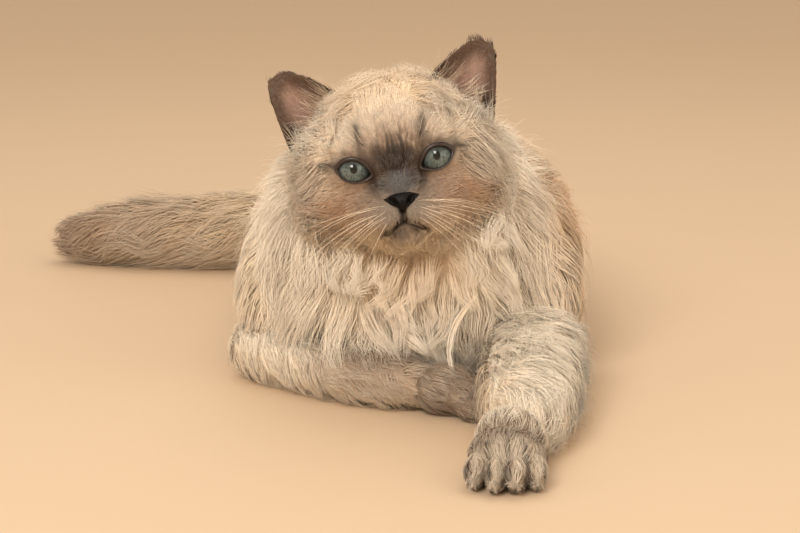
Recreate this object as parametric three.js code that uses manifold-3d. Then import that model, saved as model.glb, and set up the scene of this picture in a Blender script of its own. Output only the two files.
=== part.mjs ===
// A long-haired cat of the Persian breed with blue-point markings, life size, in millimetres.
// It lies on its belly with the head up. Its right foreleg is folded across under the chest, its
// left foreleg is stretched out to the front, the hind legs are tucked in at its sides, and the
// tail lies out to its right. +Z is up, the cat faces -Y and its own left side is +X. The origin
// is on the floor, under the belly.
import * as THREE from "three";
import { mergeVertices } from "three/addons/utils/BufferGeometryUtils.js";
import Module from "manifold-3d";

const wasm = await Module();
wasm.setup();

// Driving dimensions
const GAP = 0.3; // between neighbouring pieces
const PARTING = 0.36; // where one form is cut into two pieces
const CORE_SHARE = 0.5; // of the coat's depth that the core leaves to its locks
const WELD = 1e-3; // vertices nearer than this are one

const LOCK_GAP = 0.8; // round a lock, where it cuts another piece's locks
const LOCK_SINK = 6; // how deep a lock's root sits in the body
const LOCK_THICK = 2; // least half thickness near its root
const ROW_STEP = 0.6; // from one row of locks to the next, as a share of their length
const LOCK_STEP = 1.08; // from one lock to the next in a row, as a share of their width
const LOCK_STEPS = 3; // lengths along a lock
const FLOOR_EASE = 4; // locks flatten out below this height
const LOCK_UNDER = 13; // how deep in another piece's coat a lock may end
const HEAD_UNDER = 3; // the same, in the head's coat

const HEAD_AT = [-2.2, -138, 146]; // centre of the skull
const SKULL_SIZE = 52; // its radius, for spacing the locks on it
const HEAD_ROLL = 9.6; // degrees, its left side up
const HEAD_PITCH = 3; // degrees, nose up
const EYE_APART = 49.2; // between the pupils
const EYE_RADIUS = 11.2;
const EYE_DEPTH = 31.5; // the eyeball's centre, in front of the skull's
const EYE_HEIGHT = 2;
const LID_EDGE = [
  [9.4, 2.2], [6.6, 5.4], [2.6, 6.9], [-1.6, 6.7], [-5.6, 4.6], [-8.2, 1.2],
  [-10.2, -4.0], [-7.4, -5.9], [-3.0, -6.9], [1.8, -6.3], [5.8, -4.2], [8.4, -1.0],
]; // outward and up from the eye's middle, round the opening between the lids
const NOSE_WIDTH = 17;
const NOSE_HEIGHT = 11;
const EAR_THICKNESS = 2.2;
const MOUTH_GROOVE = 0.9; // radius of the line of the mouth

const V = (x, y, z) => new THREE.Vector3(x, y, z);
const Z_UP = V(0, 0, 1);
const radians = THREE.MathUtils.degToRad;

// Solids from geometry, and back
function solid(geometry) {
  const bare = geometry.clone();
  bare.deleteAttribute("normal");
  bare.deleteAttribute("uv");
  const merged = mergeVertices(bare, WELD);
  const made = new wasm.Manifold(
    new wasm.Mesh({
      numProp: 3,
      vertProperties: new Float32Array(merged.attributes.position.array),
      triVerts: new Uint32Array(merged.index.array),
    }),
  );
  if (made.volume() > 0) return made;
  const turned = new Uint32Array(merged.index.array);
  for (let i = 0; i < turned.length; i += 3) {
    [turned[i + 1], turned[i + 2]] = [turned[i + 2], turned[i + 1]];
  }
  return new wasm.Manifold(
    new wasm.Mesh({
      numProp: 3,
      vertProperties: new Float32Array(merged.attributes.position.array),
      triVerts: turned,
    }),
  );
}

function geometryOf(made) {
  const mesh = made.getMesh();
  const places = new Float32Array(mesh.numVert * 3);
  for (let i = 0; i < mesh.numVert; i++) {
    places.set(mesh.vertProperties.subarray(i * mesh.numProp, i * mesh.numProp + 3), i * 3);
  }
  const geometry = new THREE.BufferGeometry();
  geometry.setAttribute("position", new THREE.BufferAttribute(places, 3));
  geometry.setIndex(new THREE.BufferAttribute(new Uint32Array(mesh.triVerts), 1));
  return geometry;
}

const join = (pieces) => pieces.reduce((all, piece) => all.add(piece));

// The largest body of a solid whose nearly equal vertices have been merged
const largest = (made) =>
  solid(geometryOf(made))
    .decompose()
    .reduce((best, piece) => (piece.volume() > best.volume() ? piece : best));

// Moves every vertex of a geometry to the place that a function gives it.
function shaped(geometry, place) {
  const at = geometry.attributes.position;
  const from = new THREE.Vector3();
  for (let i = 0; i < at.count; i++) {
    const to = place(from.fromBufferAttribute(at, i));
    at.setXYZ(i, to.x, to.y, to.z);
  }
  return geometry;
}

// A limb, trunk or tail: a closed form of oval sections along a smooth line. Each station is
// [x, y, z, half width, height above, height below, coat's depth].
class Form {
  constructor(stations, options = {}) {
    Object.assign(this, { blunt: 3, around: 12, along: 7, ref: Z_UP }, options);
    const curve = (pick) => new THREE.CatmullRomCurve3(stations.map(pick), false, "catmullrom", 0.5);
    this.line = curve((s) => V(s[0], s[1], s[2]));
    this.radii = curve((s) => V(s[3], s[4], s[5]));
    this.coats = curve((s) => V(s[6], 0, 0));
    this.length = this.line.getLength();
  }

  frame(share) {
    const tangent = this.line.getTangent(share);
    const side = new THREE.Vector3().crossVectors(tangent, this.ref).normalize();
    const up = new THREE.Vector3().crossVectors(side, tangent).normalize();
    return { centre: this.line.getPoint(share), side, up };
  }

  // The point of the surface at share (0 to 1) along the line and angle round it.
  point(share, angle, grow = 0) {
    const { centre, side, up } = this.frame(share);
    const radii = this.radii.getPoint(share);
    const coat = this.coat(share) * CORE_SHARE;
    const cap = Math.sqrt(Math.max(0, 1 - Math.abs(2 * share - 1) ** this.blunt));
    const c = Math.cos(angle);
    const s = Math.sin(angle);
    const swell = grow * Math.min(1, 3 * cap);
    const wide = (radii.x - coat) * cap + swell;
    const lying = this.ref === Z_UP && s < 0; // the coat under it is pressed flat
    const high = ((s > 0 ? radii.y : radii.z) - (lying ? 0 : coat)) * cap + swell;
    const ends = this.line.getTangent(share).multiplyScalar(grow * (2 * share - 1) * (1 - cap));
    const at = centre.addScaledVector(side, wide * c).addScaledVector(up, high * s).add(ends);
    at.z = Math.max(at.z, -grow);
    return at;
  }

  coat(share) {
    return this.coats.getPoint(Math.min(1, share)).x;
  }

  // A place moved by so many millimetres along the line and round it
  moved([share, angle], along, around) {
    return [share + along / this.length, angle + around / this.radius(share)];
  }

  radius(share) {
    const radii = this.radii.getPoint(Math.min(1, share));
    return (2 * radii.x + radii.y + radii.z) / 4;
  }

  // How far inside the whole coat a point lies, in millimetres; below 0 it is outside.
  depth(point) {
    let best = Infinity;
    let share = 0;
    for (let i = 0; i <= 40; i++) {
      const near = this.line.getPoint(i / 40).distanceToSquared(point);
      if (near < best) [best, share] = [near, i / 40];
    }
    const { centre, side, up } = this.frame(share);
    const off = point.clone().sub(centre);
    const radii = this.radii.getPoint(share);
    const cap = Math.sqrt(Math.max(0, 1 - Math.abs(2 * share - 1) ** this.blunt));
    const high = off.dot(up) > 0 ? radii.y : radii.z;
    const reach = Math.hypot(off.dot(side) / radii.x, off.dot(up) / high);
    return (cap - reach) * Math.min(radii.x, high);
  }

  solid(grow = 0) {
    const ball = new THREE.SphereGeometry(1, this.around, this.along);
    return solid(
      shaped(ball, (v) => {
        const share = (1 - v.y) / 2;
        return this.point(share, Math.atan2(v.z, v.x), grow);
      }),
    );
  }
}

// An oval ball; one that stands on the floor is flat there
const oval = (at, size, across, grow = 0, depth = 0) =>
  shaped(new THREE.SphereGeometry(1, across, Math.round(across * 0.7)), (v) =>
    V(
      at[0] + v.x * (size[0] + grow),
      at[1] + v.z * (size[1] + grow),
      Math.max(at[2] + v.y * (size[2] + grow), -grow - depth),
    ),
  );

// The head, in its own frame: centre of the skull, -Y to the nose, +Z up
const headFrame = new THREE.Group();
headFrame.position.set(...HEAD_AT);
headFrame.rotation.set(radians(-HEAD_PITCH), radians(-HEAD_ROLL), 0, "YXZ");
headFrame.updateMatrixWorld(true);
const inWorld = (geometry) => geometry.applyMatrix4(headFrame.matrixWorld);

// [x, y, z, half width, half depth, half height]; a piece with x above 0 is on both sides
const HEAD_FORMS = {
  cranium: [0, 2, 5, 48, 46, 43],
  forehead: [0, -19, 23, 34, 25, 23],
  cheek: [25, -7, -16, 25, 33, 25],
  jaw: [16, -24, -27, 20, 24, 17],
  throat: [0, 0, -32, 32, 34, 22],
  brow: [22, -33, 16, 14, 10.5, 7.5],
  bridge: [0, -43, -8, 8.5, 10.5, 12],
  pad: [11.5, -44, -26, 13.5, 12.5, 11],
  chin: [0, -38, -38, 12, 13, 9.5],
  lid: [EYE_APART / 2, -EYE_DEPTH, EYE_HEIGHT, 14.2, 12.6, 12.8],
};
const HEAD_BLEND = 2.6; // how far neighbouring forms run into each other

function ovalDistance(p, form, side) {
  const x = p.x * side - form[0];
  const y = p.y - form[1];
  const z = p.z - form[2];
  const [a, b, c] = form.slice(3);
  const near = Math.hypot(x / a, y / b, z / c);
  const slope = Math.hypot(x / (a * a), y / (b * b), z / (c * c));
  return slope > 0 ? (near * (near - 1)) / slope : -Math.min(a, b, c);
}

function headDistance(p) {
  let sum = 0;
  for (const form of Object.values(HEAD_FORMS)) {
    for (const side of form[0] > 0 ? [1, -1] : [1]) {
      sum += Math.exp(-ovalDistance(p, form, side) / HEAD_BLEND);
    }
  }
  return -HEAD_BLEND * Math.log(sum);
}

// The head's surface along a direction from the skull's centre
function headPoint(direction, grow = 0) {
  let outer = 90;
  while (headDistance(direction.clone().multiplyScalar(outer)) > 0) outer -= 2;
  let inner = outer;
  outer += 2;
  for (let i = 0; i < 14; i++) {
    const middle = (inner + outer) / 2;
    if (headDistance(direction.clone().multiplyScalar(middle)) > 0) outer = middle;
    else inner = middle;
  }
  return direction.clone().multiplyScalar(inner + grow);
}

// The coat's depth: none on the face, deep on the cheeks' sides, the crown and the nape
const { smoothstep } = THREE.MathUtils;
function headCoat(direction) {
  const bare = smoothstep(-direction.y, 0.3, 0.72);
  const side = 12 * smoothstep(Math.abs(direction.x), 0.6, 0.95) * (1 - smoothstep(direction.z, 0.2, 0.7));
  const crown = 4 * smoothstep(direction.z, 0.3, 0.9);
  const nape = 10 * smoothstep(direction.y, 0, 0.8);
  return (2 + side + crown + nape) * (1 - bare);
}

// Rings run round the nose, closer together on the face than at the back.
function headGeometry(grow = 0) {
  const ball = new THREE.SphereGeometry(1, 26, 21);
  return shaped(ball, (v) => {
    const turn = Math.acos(THREE.MathUtils.clamp(v.y, -1, 1)) / Math.PI;
    const polar = Math.PI * (0.62 * turn + 0.38 * turn * turn * turn);
    const round = Math.atan2(v.z, v.x);
    const direction = V(
      Math.sin(polar) * Math.cos(round),
      -Math.cos(polar),
      Math.sin(polar) * Math.sin(round),
    ).normalize();
    return headPoint(direction, grow + headCoat(direction) * CORE_SHARE);
  });
}

// A round bar along a smooth line of points, for grooves
function bar(points, radius, steps, sides = 6) {
  const section = new THREE.Shape();
  for (let i = 0; i < sides; i++) {
    const angle = (i / sides) * 2 * Math.PI;
    const x = radius * Math.cos(angle);
    const y = radius * Math.sin(angle);
    if (i) section.lineTo(x, y);
    else section.moveTo(x, y);
  }
  section.closePath();
  return new THREE.ExtrudeGeometry(section, {
    steps,
    extrudePath: new THREE.CatmullRomCurve3(points),
    bevelEnabled: false,
  });
}

// Points of the face at a width and height, on the surface
function facePoint(x, z, lift = 0) {
  let y = -75;
  while (headDistance(V(x, y, z)) > 0) y += 0.25;
  return V(x, y - lift, z);
}

// The opening between the lids: an almond, pushed back to the eyeball's middle
function lidOpening(side) {
  const almond = new THREE.Shape(LID_EDGE.map(([out, up]) => new THREE.Vector2(out, up)));
  const cutter = new THREE.ExtrudeGeometry(almond, { depth: 24, bevelEnabled: false });
  cutter.rotateX(Math.PI / 2);
  if (side < 0) cutter.scale(-1, 1, 1);
  return cutter.translate((side * EYE_APART) / 2, -EYE_DEPTH, EYE_HEIGHT);
}

const eyeAt = (side) => [(side * EYE_APART) / 2, -EYE_DEPTH, EYE_HEIGHT];
const eyeGeometry = (side, grow = 0) => {
  const ball = new THREE.SphereGeometry(EYE_RADIUS + grow, 12, 8);
  return ball.translate(...eyeAt(side));
};

// The nose leather: a soft triangle with its nostrils, on the front of the muzzle
const NOSE_AT = [0, -54.5, -18];
function noseGeometry(grow = 0) {
  const w = NOSE_WIDTH / 2;
  const h = NOSE_HEIGHT;
  const leather = new THREE.Shape();
  leather.moveTo(0, h * 0.46);
  leather.bezierCurveTo(w * 0.35, h * 0.5, w * 0.8, h * 0.62, w, h * 0.3);
  leather.bezierCurveTo(w * 1.02, h * 0.02, w * 0.42, -h * 0.18, w * 0.22, -h * 0.54);
  leather.lineTo(-w * 0.22, -h * 0.54);
  leather.bezierCurveTo(-w * 0.42, -h * 0.18, -w * 1.02, h * 0.02, -w, h * 0.3);
  leather.bezierCurveTo(-w * 0.8, h * 0.62, -w * 0.35, h * 0.5, 0, h * 0.46);
  const made = new THREE.ExtrudeGeometry(leather, {
    depth: 6,
    curveSegments: 2,
    bevelEnabled: true,
    bevelThickness: 1.4 + grow,
    bevelSize: 1,
    bevelOffset: grow - 1,
    bevelSegments: 1,
  });
  made.rotateX(Math.PI / 2);
  made.translate(NOSE_AT[0], NOSE_AT[1] + 3.4, NOSE_AT[2]);
  return made;
}
const nostril = (side) =>
  bar(
    [
      V(side * 3.2, NOSE_AT[1] - 8, NOSE_AT[2] - 0.6),
      V(side * 3.9, NOSE_AT[1] - 3, NOSE_AT[2] + 0.2),
      V(side * 5.2, NOSE_AT[1] - 1.0, NOSE_AT[2] + 1.2),
    ],
    1.15,
    6,
  );

// The line of the mouth: down from the nose, then out along both lips
function mouthGroove() {
  const middle = [
    facePoint(0, -22.5, 0.1),
    facePoint(0, -26.5, 0.1),
    facePoint(0, -31.0, 0.1),
  ];
  const lip = (side) => [
    facePoint(-side * 1.2, -30.6, 0.1),
    facePoint(side * 4, -31.8, 0.1),
    facePoint(side * 9, -35.5, 0.1),
    facePoint(side * 13, -37.0, -0.2),
  ];
  return join([
    solid(bar(middle, MOUTH_GROOVE, 3, 4)),
    solid(bar(lip(1), MOUTH_GROOVE, 6, 4)),
    solid(bar(lip(-1), MOUTH_GROOVE, 6, 4)),
  ]);
}

// An ear: a hollow shell between its inner edge, its outer edge and its tip
const EAR = { inner: [22, -8, 42], outer: [60, 2, 6], tip: [65, 2, 61], cup: 22, bulge: 5 };
function earPlace(side, across, up, off) {
  const inner = V(...EAR.inner);
  const outer = V(...EAR.outer);
  const tip = V(...EAR.tip);
  const width = (1 - Math.max(0, up) ** 1.2) ** 0.85 * 0.97 + 0.03 + Math.max(0, -up) * 0.9;
  const foot = inner.clone().lerp(outer, across);
  const crest = tip.clone().add(V((across - 0.5) * 4, 0, 0));
  const at = crest.clone().lerp(foot, width);
  const swell = Math.sin(Math.PI * across);
  const full = EAR.bulge * Math.sin(Math.PI * Math.min(1, width) ** 0.6);
  at.y += EAR.cup * swell * width * (1 - 0.35 * up);
  at.x += full * (0.55 * across ** 2 - 0.25 * (1 - across) ** 2);
  at.z += full * (1 - across) ** 2;
  const out = V(-0.25 * (across - 0.5) * 2, -1, 0.15).normalize();
  at.addScaledVector(out, off);
  at.x *= side;
  return at;
}
function earGeometry(side, grow = 0) {
  const slab = new THREE.BoxGeometry(1, 1, 1, 7, 1, 6);
  return shaped(slab, (v) => {
    const up = v.z + 0.5;
    const thick = EAR_THICKNESS * (1.25 - 0.6 * up) + 2 * grow;
    const rise = Math.min(1, up * (1 + grow / 50) - 0.16 * (1 - up));
    return earPlace(side, v.x + 0.5, rise, -v.y * thick);
  });
}

// Trunk, legs and tail
const FORMS = {
  front: new Form([
    [-2, -112, 182, 30, 32, 34, 14],
    [-1, -110, 150, 68, 48, 46, 32],
    [1, -104, 118, 90, 62, 60, 42],
    [2, -100, 84, 99, 68, 70, 46],
    [2, -98, 50, 97, 68, 74, 46],
    [2, -98, 20, 88, 66, 72, 40],
    [2, -98, 0, 82, 62, 66, 36],
  ], { ref: V(0, 1, 0), blunt: 4, around: 16, along: 9 }),
  torso: new Form([
    [2, -128, 62, 84, 76, 66, 30],
    [6, -72, 64, 114, 102, 74, 38],
    [10, -10, 62, 119, 104, 74, 38],
    [13, 50, 60, 120, 100, 74, 38],
    [12, 110, 57, 113, 93, 70, 34],
    [10, 160, 53, 99, 80, 66, 34],
    [8, 212, 48, 74, 56, 60, 30],
  ], { blunt: 4, around: 16, along: 10 }),
  shoulder_left: new Form([
    [70, -84, 122, 30, 34, 34, 18],
    [82, -86, 90, 36, 44, 44, 26],
    [86, -92, 56, 36, 46, 46, 28],
    [84, -98, 20, 32, 40, 40, 26],
  ], { ref: V(0, 1, 0) }),
  shoulder_right: new Form([
    [-58, -88, 118, 28, 34, 34, 18],
    [-70, -88, 88, 34, 44, 44, 26],
    [-75, -88, 54, 34, 46, 46, 28],
    [-72, -88, 18, 32, 40, 40, 26],
  ], { ref: V(0, 1, 0) }),
  forearm_left: new Form([
    [86, -96, 38, 32, 26, 38, 24],
    [80, -148, 36, 37, 25, 38, 26],
    [75, -194, 31, 37, 23, 34, 24],
    [70, -234, 25, 31, 20, 28, 18],
    [63, -268, 18, 24, 17, 20, 10],
  ], { blunt: 5, along: 8 }),
  forearm_right: new Form([
    [-104, -84, 21, 24, 25, 23, 0],
    [-68, -118, 20, 24, 24, 22, 0],
    [-24, -154, 19, 23, 21, 21, 0],
    [22, -175, 17, 21, 18, 19, 0],
  ], { blunt: 5, along: 8 }),
  thigh_left: new Form([
    [66, 34, 44, 38, 44, 50, 24],
    [84, 84, 54, 46, 56, 62, 30],
    [84, 132, 54, 46, 56, 62, 30],
    [66, 190, 44, 38, 42, 50, 26],
  ]),
  thigh_right: new Form([
    [-42, 34, 44, 38, 44, 50, 24],
    [-60, 84, 54, 46, 56, 62, 30],
    [-60, 132, 54, 46, 56, 62, 30],
    [-42, 190, 44, 38, 42, 50, 26],
  ]),
  tail: new Form([
    [20, 176, 44, 30, 30, 40, 16],
    [0, 218, 39, 34, 32, 40, 20],
    [-44, 240, 37, 36, 34, 38, 22],
    [-108, 243, 35, 36, 33, 36, 22],
    [-170, 246, 33, 35, 32, 34, 22],
    [-230, 253, 29, 31, 28, 30, 20],
    [-286, 262, 22, 23, 20, 22, 14],
  ], { blunt: 5, around: 10, along: 14 }),
};

// Pieces that are a stretch of a longer form, from one share of its line to another
const STRETCHES = {
  neck: ["front", 0, 0.52],
  chest: ["front", 0.52, 1],
  tail_root: ["tail", 0, 0.42],
  tail_middle: ["tail", 0.42, 0.72],
  tail_tip: ["tail", 0.72, 1],
};

// Cuts a form across its line, half a gap clear of the place on either side
function stretch([form, from, to], grow) {
  let made = FORMS[form].solid(grow);
  for (const [share, way] of [[from, 1], [to, -1]]) {
    if (share === 0 || share === 1) continue;
    const across = FORMS[form].line.getTangent(share).multiplyScalar(way);
    const at = FORMS[form].line.getPoint(share).dot(across);
    made = made.trimByPlane(across.toArray(), at + PARTING / 2 - grow);
  }
  return made;
}

// Paws: the back of the paw with four toes across its front
function pawSolid(paw, grow = 0) {
  const pieces = paw.ovals.map(([at, size]) => solid(oval(at, size, paw.across, grow)));
  const forward = new THREE.Vector2(...paw.forward).normalize();
  const sideways = new THREE.Vector2(-forward.y, forward.x);
  for (let toe = 0; toe < 4; toe++) {
    const off = (toe - 1.5) * paw.toeStep;
    const reach = paw.reach - (toe === 0 || toe === 3 ? paw.toeStep * 0.5 : 0);
    const at = [
      paw.toes[0] + sideways.x * off + forward.x * reach,
      paw.toes[1] + sideways.y * off + forward.y * reach,
      paw.toeSize[2] * 0.86,
    ];
    const [wide, long, high] = paw.toeSize;
    const turned = oval([0, 0, 0], [wide, long, high], paw.across - 2, grow, Infinity);
    turned.rotateZ(Math.atan2(forward.y, forward.x) + Math.PI / 2);
    turned.translate(...at);
    pieces.push(solid(shaped(turned, (v) => V(v.x, v.y, Math.max(v.z, -grow)))));
  }
  return join(pieces);
}

const PAWS = {
  forepaw_left: {
    across: 10,
    ovals: [
      [[60, -272, 15], [21, 24, 19]],
      [[57, -296, 13], [22, 24, 16]],
    ],
    toes: [56, -301],
    forward: [-0.08, -1],
    reach: 18,
    toeStep: 10.6,
    toeSize: [7.2, 14, 11],
  },
  forepaw_right: {
    across: 8,
    ovals: [
      [[26, -177, 15], [20, 18, 17]],
      [[36, -182, 13], [18, 17, 14]],
    ],
    toes: [37, -183],
    forward: [1, -0.35],
    reach: 12,
    toeStep: 8.4,
    toeSize: [6.4, 11, 9],
  },
  hindpaw_left: {
    across: 7,
    ovals: [
      [[98, 104, 14], [16, 44, 16]],
      [[104, 64, 12], [18, 22, 14]],
    ],
    toes: [104, 62],
    forward: [0.08, -1],
    reach: 12,
    toeStep: 9,
    toeSize: [6.4, 12, 10],
  },
  hindpaw_right: {
    across: 7,
    ovals: [
      [[-74, 104, 14], [16, 44, 16]],
      [[-80, 64, 12], [18, 22, 14]],
    ],
    toes: [-80, 62],
    forward: [-0.08, -1],
    reach: 12,
    toeStep: 9,
    toeSize: [6.4, 12, 10],
  },
};

// The head as a place for locks: [angle from the nose's axis, angle round it] in radians
const headWay = ([polar, round]) =>
  V(Math.sin(polar) * Math.cos(round), -Math.cos(polar), Math.sin(polar) * Math.sin(round));
const skull = {
  point: (place, lift) => {
    const way = headWay(place);
    return headPoint(way, headCoat(way) * CORE_SHARE + lift).applyMatrix4(headFrame.matrixWorld);
  },
  coat: (place) => headCoat(headWay(place)),
  lift: 4, // more than the coat gives, so the cheeks' locks stand clear
  moved: ([polar, round], along, around) => [polar + along / SKULL_SIZE, round + around / SKULL_SIZE],
  radius: () => SKULL_SIZE,
  depth: (point) => {
    const local = point.clone().applyMatrix4(headFrame.matrixWorld.clone().invert());
    return headCoat(local.clone().normalize()) - headDistance(local);
  },
};

// On a form, a lock that passes the end goes straight on, a little way.
const placesOn = (form) => ({
  point: ([share, angle], lift) => {
    const last = Math.min(share, 0.96);
    const past = Math.min(share, 1.01) - last;
    return form.point(last, angle, lift).addScaledVector(form.line.getTangent(1), past * form.length);
  },
  coat: ([share]) => form.coat(share),
  moved: (place, along, around) => form.moved(place, along, around),
  radius: ([share]) => form.radius(share),
  depth: (point) => form.depth(point),
});

// Points near the floor are laid flat just above it.
const aboveFloor = (v) => {
  const ease = FLOOR_EASE - GAP;
  if (v.z < FLOOR_EASE) v.z = GAP + ease * Math.exp((v.z - FLOOR_EASE) / ease);
  return v;
};

// A lock: flat, tapered, rooted in the body, and bent along the lie over the form it grows on
function lockGeometry(ground, { place, length, width, along, around, curl }, grow = 0) {
  const rise = ground.coat(place) * CORE_SHARE + (ground.lift ?? 0);
  const at = (t) => {
    const lift = t < 0.01 ? -LOCK_SINK : rise * (0.1 + 1.9 * t - 1.3 * t * t);
    const bend = curl * Math.sin(Math.PI * t);
    const onward = along * length * t - around * bend;
    const sideways = around * length * t + along * bend;
    return ground.point(ground.moved(place, onward, sideways), lift);
  };
  const step = 0.04;
  return shaped(new THREE.CylinderGeometry(grow, 1, 1, 3, LOCK_STEPS), (v) => {
    const t = v.y + 0.5;
    const centre = at(t);
    const ahead = at(Math.min(1, t + step)).sub(at(Math.max(0.02, t - step))).normalize();
    const foot = ground.moved(place, along * length * t, around * length * t);
    const out = ground.point(foot, 4).sub(ground.point(foot, 0)).normalize();
    const side = new THREE.Vector3().crossVectors(ahead, out).normalize();
    out.crossVectors(side, ahead);
    const narrow = Math.min(1, ground.radius(foot) / ground.radius(place));
    const tip = t > 0.99;
    const wide = tip ? 0 : (width / 2) * (0.8 + 0.9 * t - 1.2 * t * t) * narrow;
    const thick = tip ? 0 : (LOCK_THICK + rise * 0.08) * (1 - 0.55 * t);
    // Both faces of the flat section stay outside those of a lock that isn't grown.
    const above = tip ? 2 * grow : grow;
    const below = tip ? 0.4 * grow : (2.25 * grow * thick) / wide;
    const round = Math.atan2(v.x, v.z);
    const high = Math.hypot(v.x, v.z) > 0 ? Math.cos(round) : 0;
    centre.addScaledVector(side, 1.155 * Math.sin(round) * (wide + 3 * grow));
    centre.addScaledVector(out, high * thick + (high > 0 ? above : below * Math.sign(high)));
    if (tip) centre.addScaledVector(ahead, grow);
    return aboveFloor(centre);
  });
}

// Seeded, so the coat is the same each time
function chance(seed) {
  let state = seed;
  return () => {
    state = (state * 1664525 + 1013904223) % 4294967296;
    return state / 4294967296;
  };
}

// The coat's fields. On a form, from one share of its line to another and from one angle round it
// to another, in degrees; on the skull, by angles from the nose's axis and round it. size is a
// lock's length and width, and lie the way it points: along the line and round it.
const downward = (k) => (angle) => [0.9 - 0.3 * k, -k * Math.cos(angle)];
const backward = (k) => (angle) => [0.9 - 0.3 * k, k * Math.cos(angle)];
const COAT = {
  head: [
    { on: "skull", from: 68, to: 100, angles: [-56, 24], size: [42, 24], lie: () => [0.45, -0.8] },
    { on: "skull", from: 68, to: 100, angles: [156, 236], size: [42, 24], lie: () => [0.45, 0.8] },
    { on: "skull", from: 92, to: 112, angles: [46, 134], size: [38, 30], lie: () => [1, 0] },
  ],
  neck: [
    { on: "front", from: 0.14, to: 0.5, angles: [-180, 180], size: [68, 35], lie: backward(0.35) },
  ],
  chest: [
    { on: "front", from: 0.66, to: 0.84, angles: [-172, -8], size: [52, 34], lie: backward(0.3) },
  ],
  shoulder_left: [
    { on: "shoulder_left", from: 0.16, to: 0.8, angles: [-80, 100], size: [80, 44], lie: backward(0.4) },
  ],
  shoulder_right: [
    { on: "shoulder_right", from: 0.16, to: 0.76, angles: [82, 262], size: [80, 44], lie: backward(0.4) },
  ],
  torso: [
    { on: "torso", from: 0.2, to: 0.86, angles: [-10, 190], size: [120, 62], lie: downward(0.5) },
  ],
  thigh_left: [
    { on: "thigh_left", from: 0.1, to: 0.85, angles: [-24, 84], size: [80, 40], lie: downward(0.6) },
  ],
  thigh_right: [
    { on: "thigh_right", from: 0.1, to: 0.85, angles: [96, 204], size: [80, 40], lie: downward(0.6) },
  ],
  forearm_left: [
    { on: "forearm_left", from: 0.16, to: 0.8, angles: [-36, 216], size: [68, 40], lie: downward(0.45) },
  ],
  tail_root: [
    { on: "tail", from: 0.1, to: 0.36, angles: [-20, 204], size: [84, 36], lie: downward(0.35) },
  ],
  tail_middle: [
    { on: "tail", from: 0.49, to: 0.62, angles: [-20, 204], size: [84, 36], lie: downward(0.35) },
  ],
  tail_tip: [
    { on: "tail", from: 0.75, to: 0.88, angles: [-30, 210], size: [66, 30], lie: downward(0.3) },
  ],
};

// Every lock of a piece's coat, apart from those that another piece's coat would hide
function locksOf(name) {
  const locks = [];
  const random = chance(1 + ORDER.indexOf(name));
  const jitter = (spread) => (random() - 0.5) * 2 * spread;
  for (const { on, from, to, angles, size, lie } of COAT[name] ?? []) {
    const ground = on === "skull" ? skull : placesOn(FORMS[on]);
    const [length, width] = size;
    const [first, last] = on === "skull" ? [radians(from), radians(to)] : [from, to];
    const reach = on === "skull" ? SKULL_SIZE * (last - first) : FORMS[on].length * (to - from);
    const rows = Math.max(1, Math.round(reach / (length * ROW_STEP))) + 1;
    for (let row = 0; row < rows; row++) {
      const share = first + ((last - first) * row) / (rows - 1);
      const girth = radians(angles[1] - angles[0]) * ground.radius([share, 0]);
      const count = Math.max(1, Math.round(girth / (width * LOCK_STEP)));
      for (let i = 0; i < count; i++) {
        const across = (i + 0.5 + (row % 2 ? 0.25 : -0.25) + jitter(0.05)) / count;
        const angle = radians(angles[0] + (angles[1] - angles[0]) * across);
        const place = ground.moved([share, angle], jitter(length * 0.06), 0);
        const [along, around] = lie(angle);
        const one = { place, along, around };
        one.length = length * (1 + jitter(0.14));
        one.width = width * (1 + jitter(0.04));
        one.curl = jitter(3);
        const rise = ground.coat(place) * CORE_SHARE;
        const at = (far) => ground.point(ground.moved(place, along * far, around * far), rise);
        const covered = (far) => hidden(on, at(far / 2)) || hidden(on, at(far));
        const shorter = [1, 0.8, 0.6].find((k) => !covered(k * one.length));
        if (!shorter || at(one.length * 0.3).z < FLOOR_EASE) continue;
        one.length *= shorter;
        locks.push((grow) => lockGeometry(ground, one, grow));
      }
    }
  }
  return locks;
}

// Whether a point on one form is well inside the coat of another
function hidden(on, point) {
  if (on !== "skull" && skull.depth(point) > HEAD_UNDER) return true;
  return Object.entries(FORMS).some(([other, form]) => other !== on && form.depth(point) > LOCK_UNDER);
}

// Each piece without its coat, at its own size or grown by the gap
function core(name, grow = 0) {
  if (FORMS[name]) return FORMS[name].solid(grow);
  if (STRETCHES[name]) return stretch(STRETCHES[name], grow);
  if (PAWS[name]) return pawSolid(PAWS[name], grow);
  const side = name.endsWith("left") ? 1 : -1;
  if (name.startsWith("eye")) return solid(inWorld(eyeGeometry(side, grow)));
  if (name.startsWith("ear")) return solid(inWorld(earGeometry(side, grow)));
  if (name === "nose") return solid(inWorld(noseGeometry(grow)));
  return solid(inWorld(headGeometry(grow)));
}

// A piece keeps its whole form against those that come after it in this list.
const ORDER = [
  "eye_left", "eye_right", "nose", "head", "ear_left", "ear_right",
  "forepaw_left", "forepaw_right", "forearm_left", "forearm_right",
  "neck", "chest", "shoulder_left", "shoulder_right",
  "hindpaw_left", "hindpaw_right", "thigh_left", "thigh_right",
  "torso", "tail_root", "tail_middle", "tail_tip",
];

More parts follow.
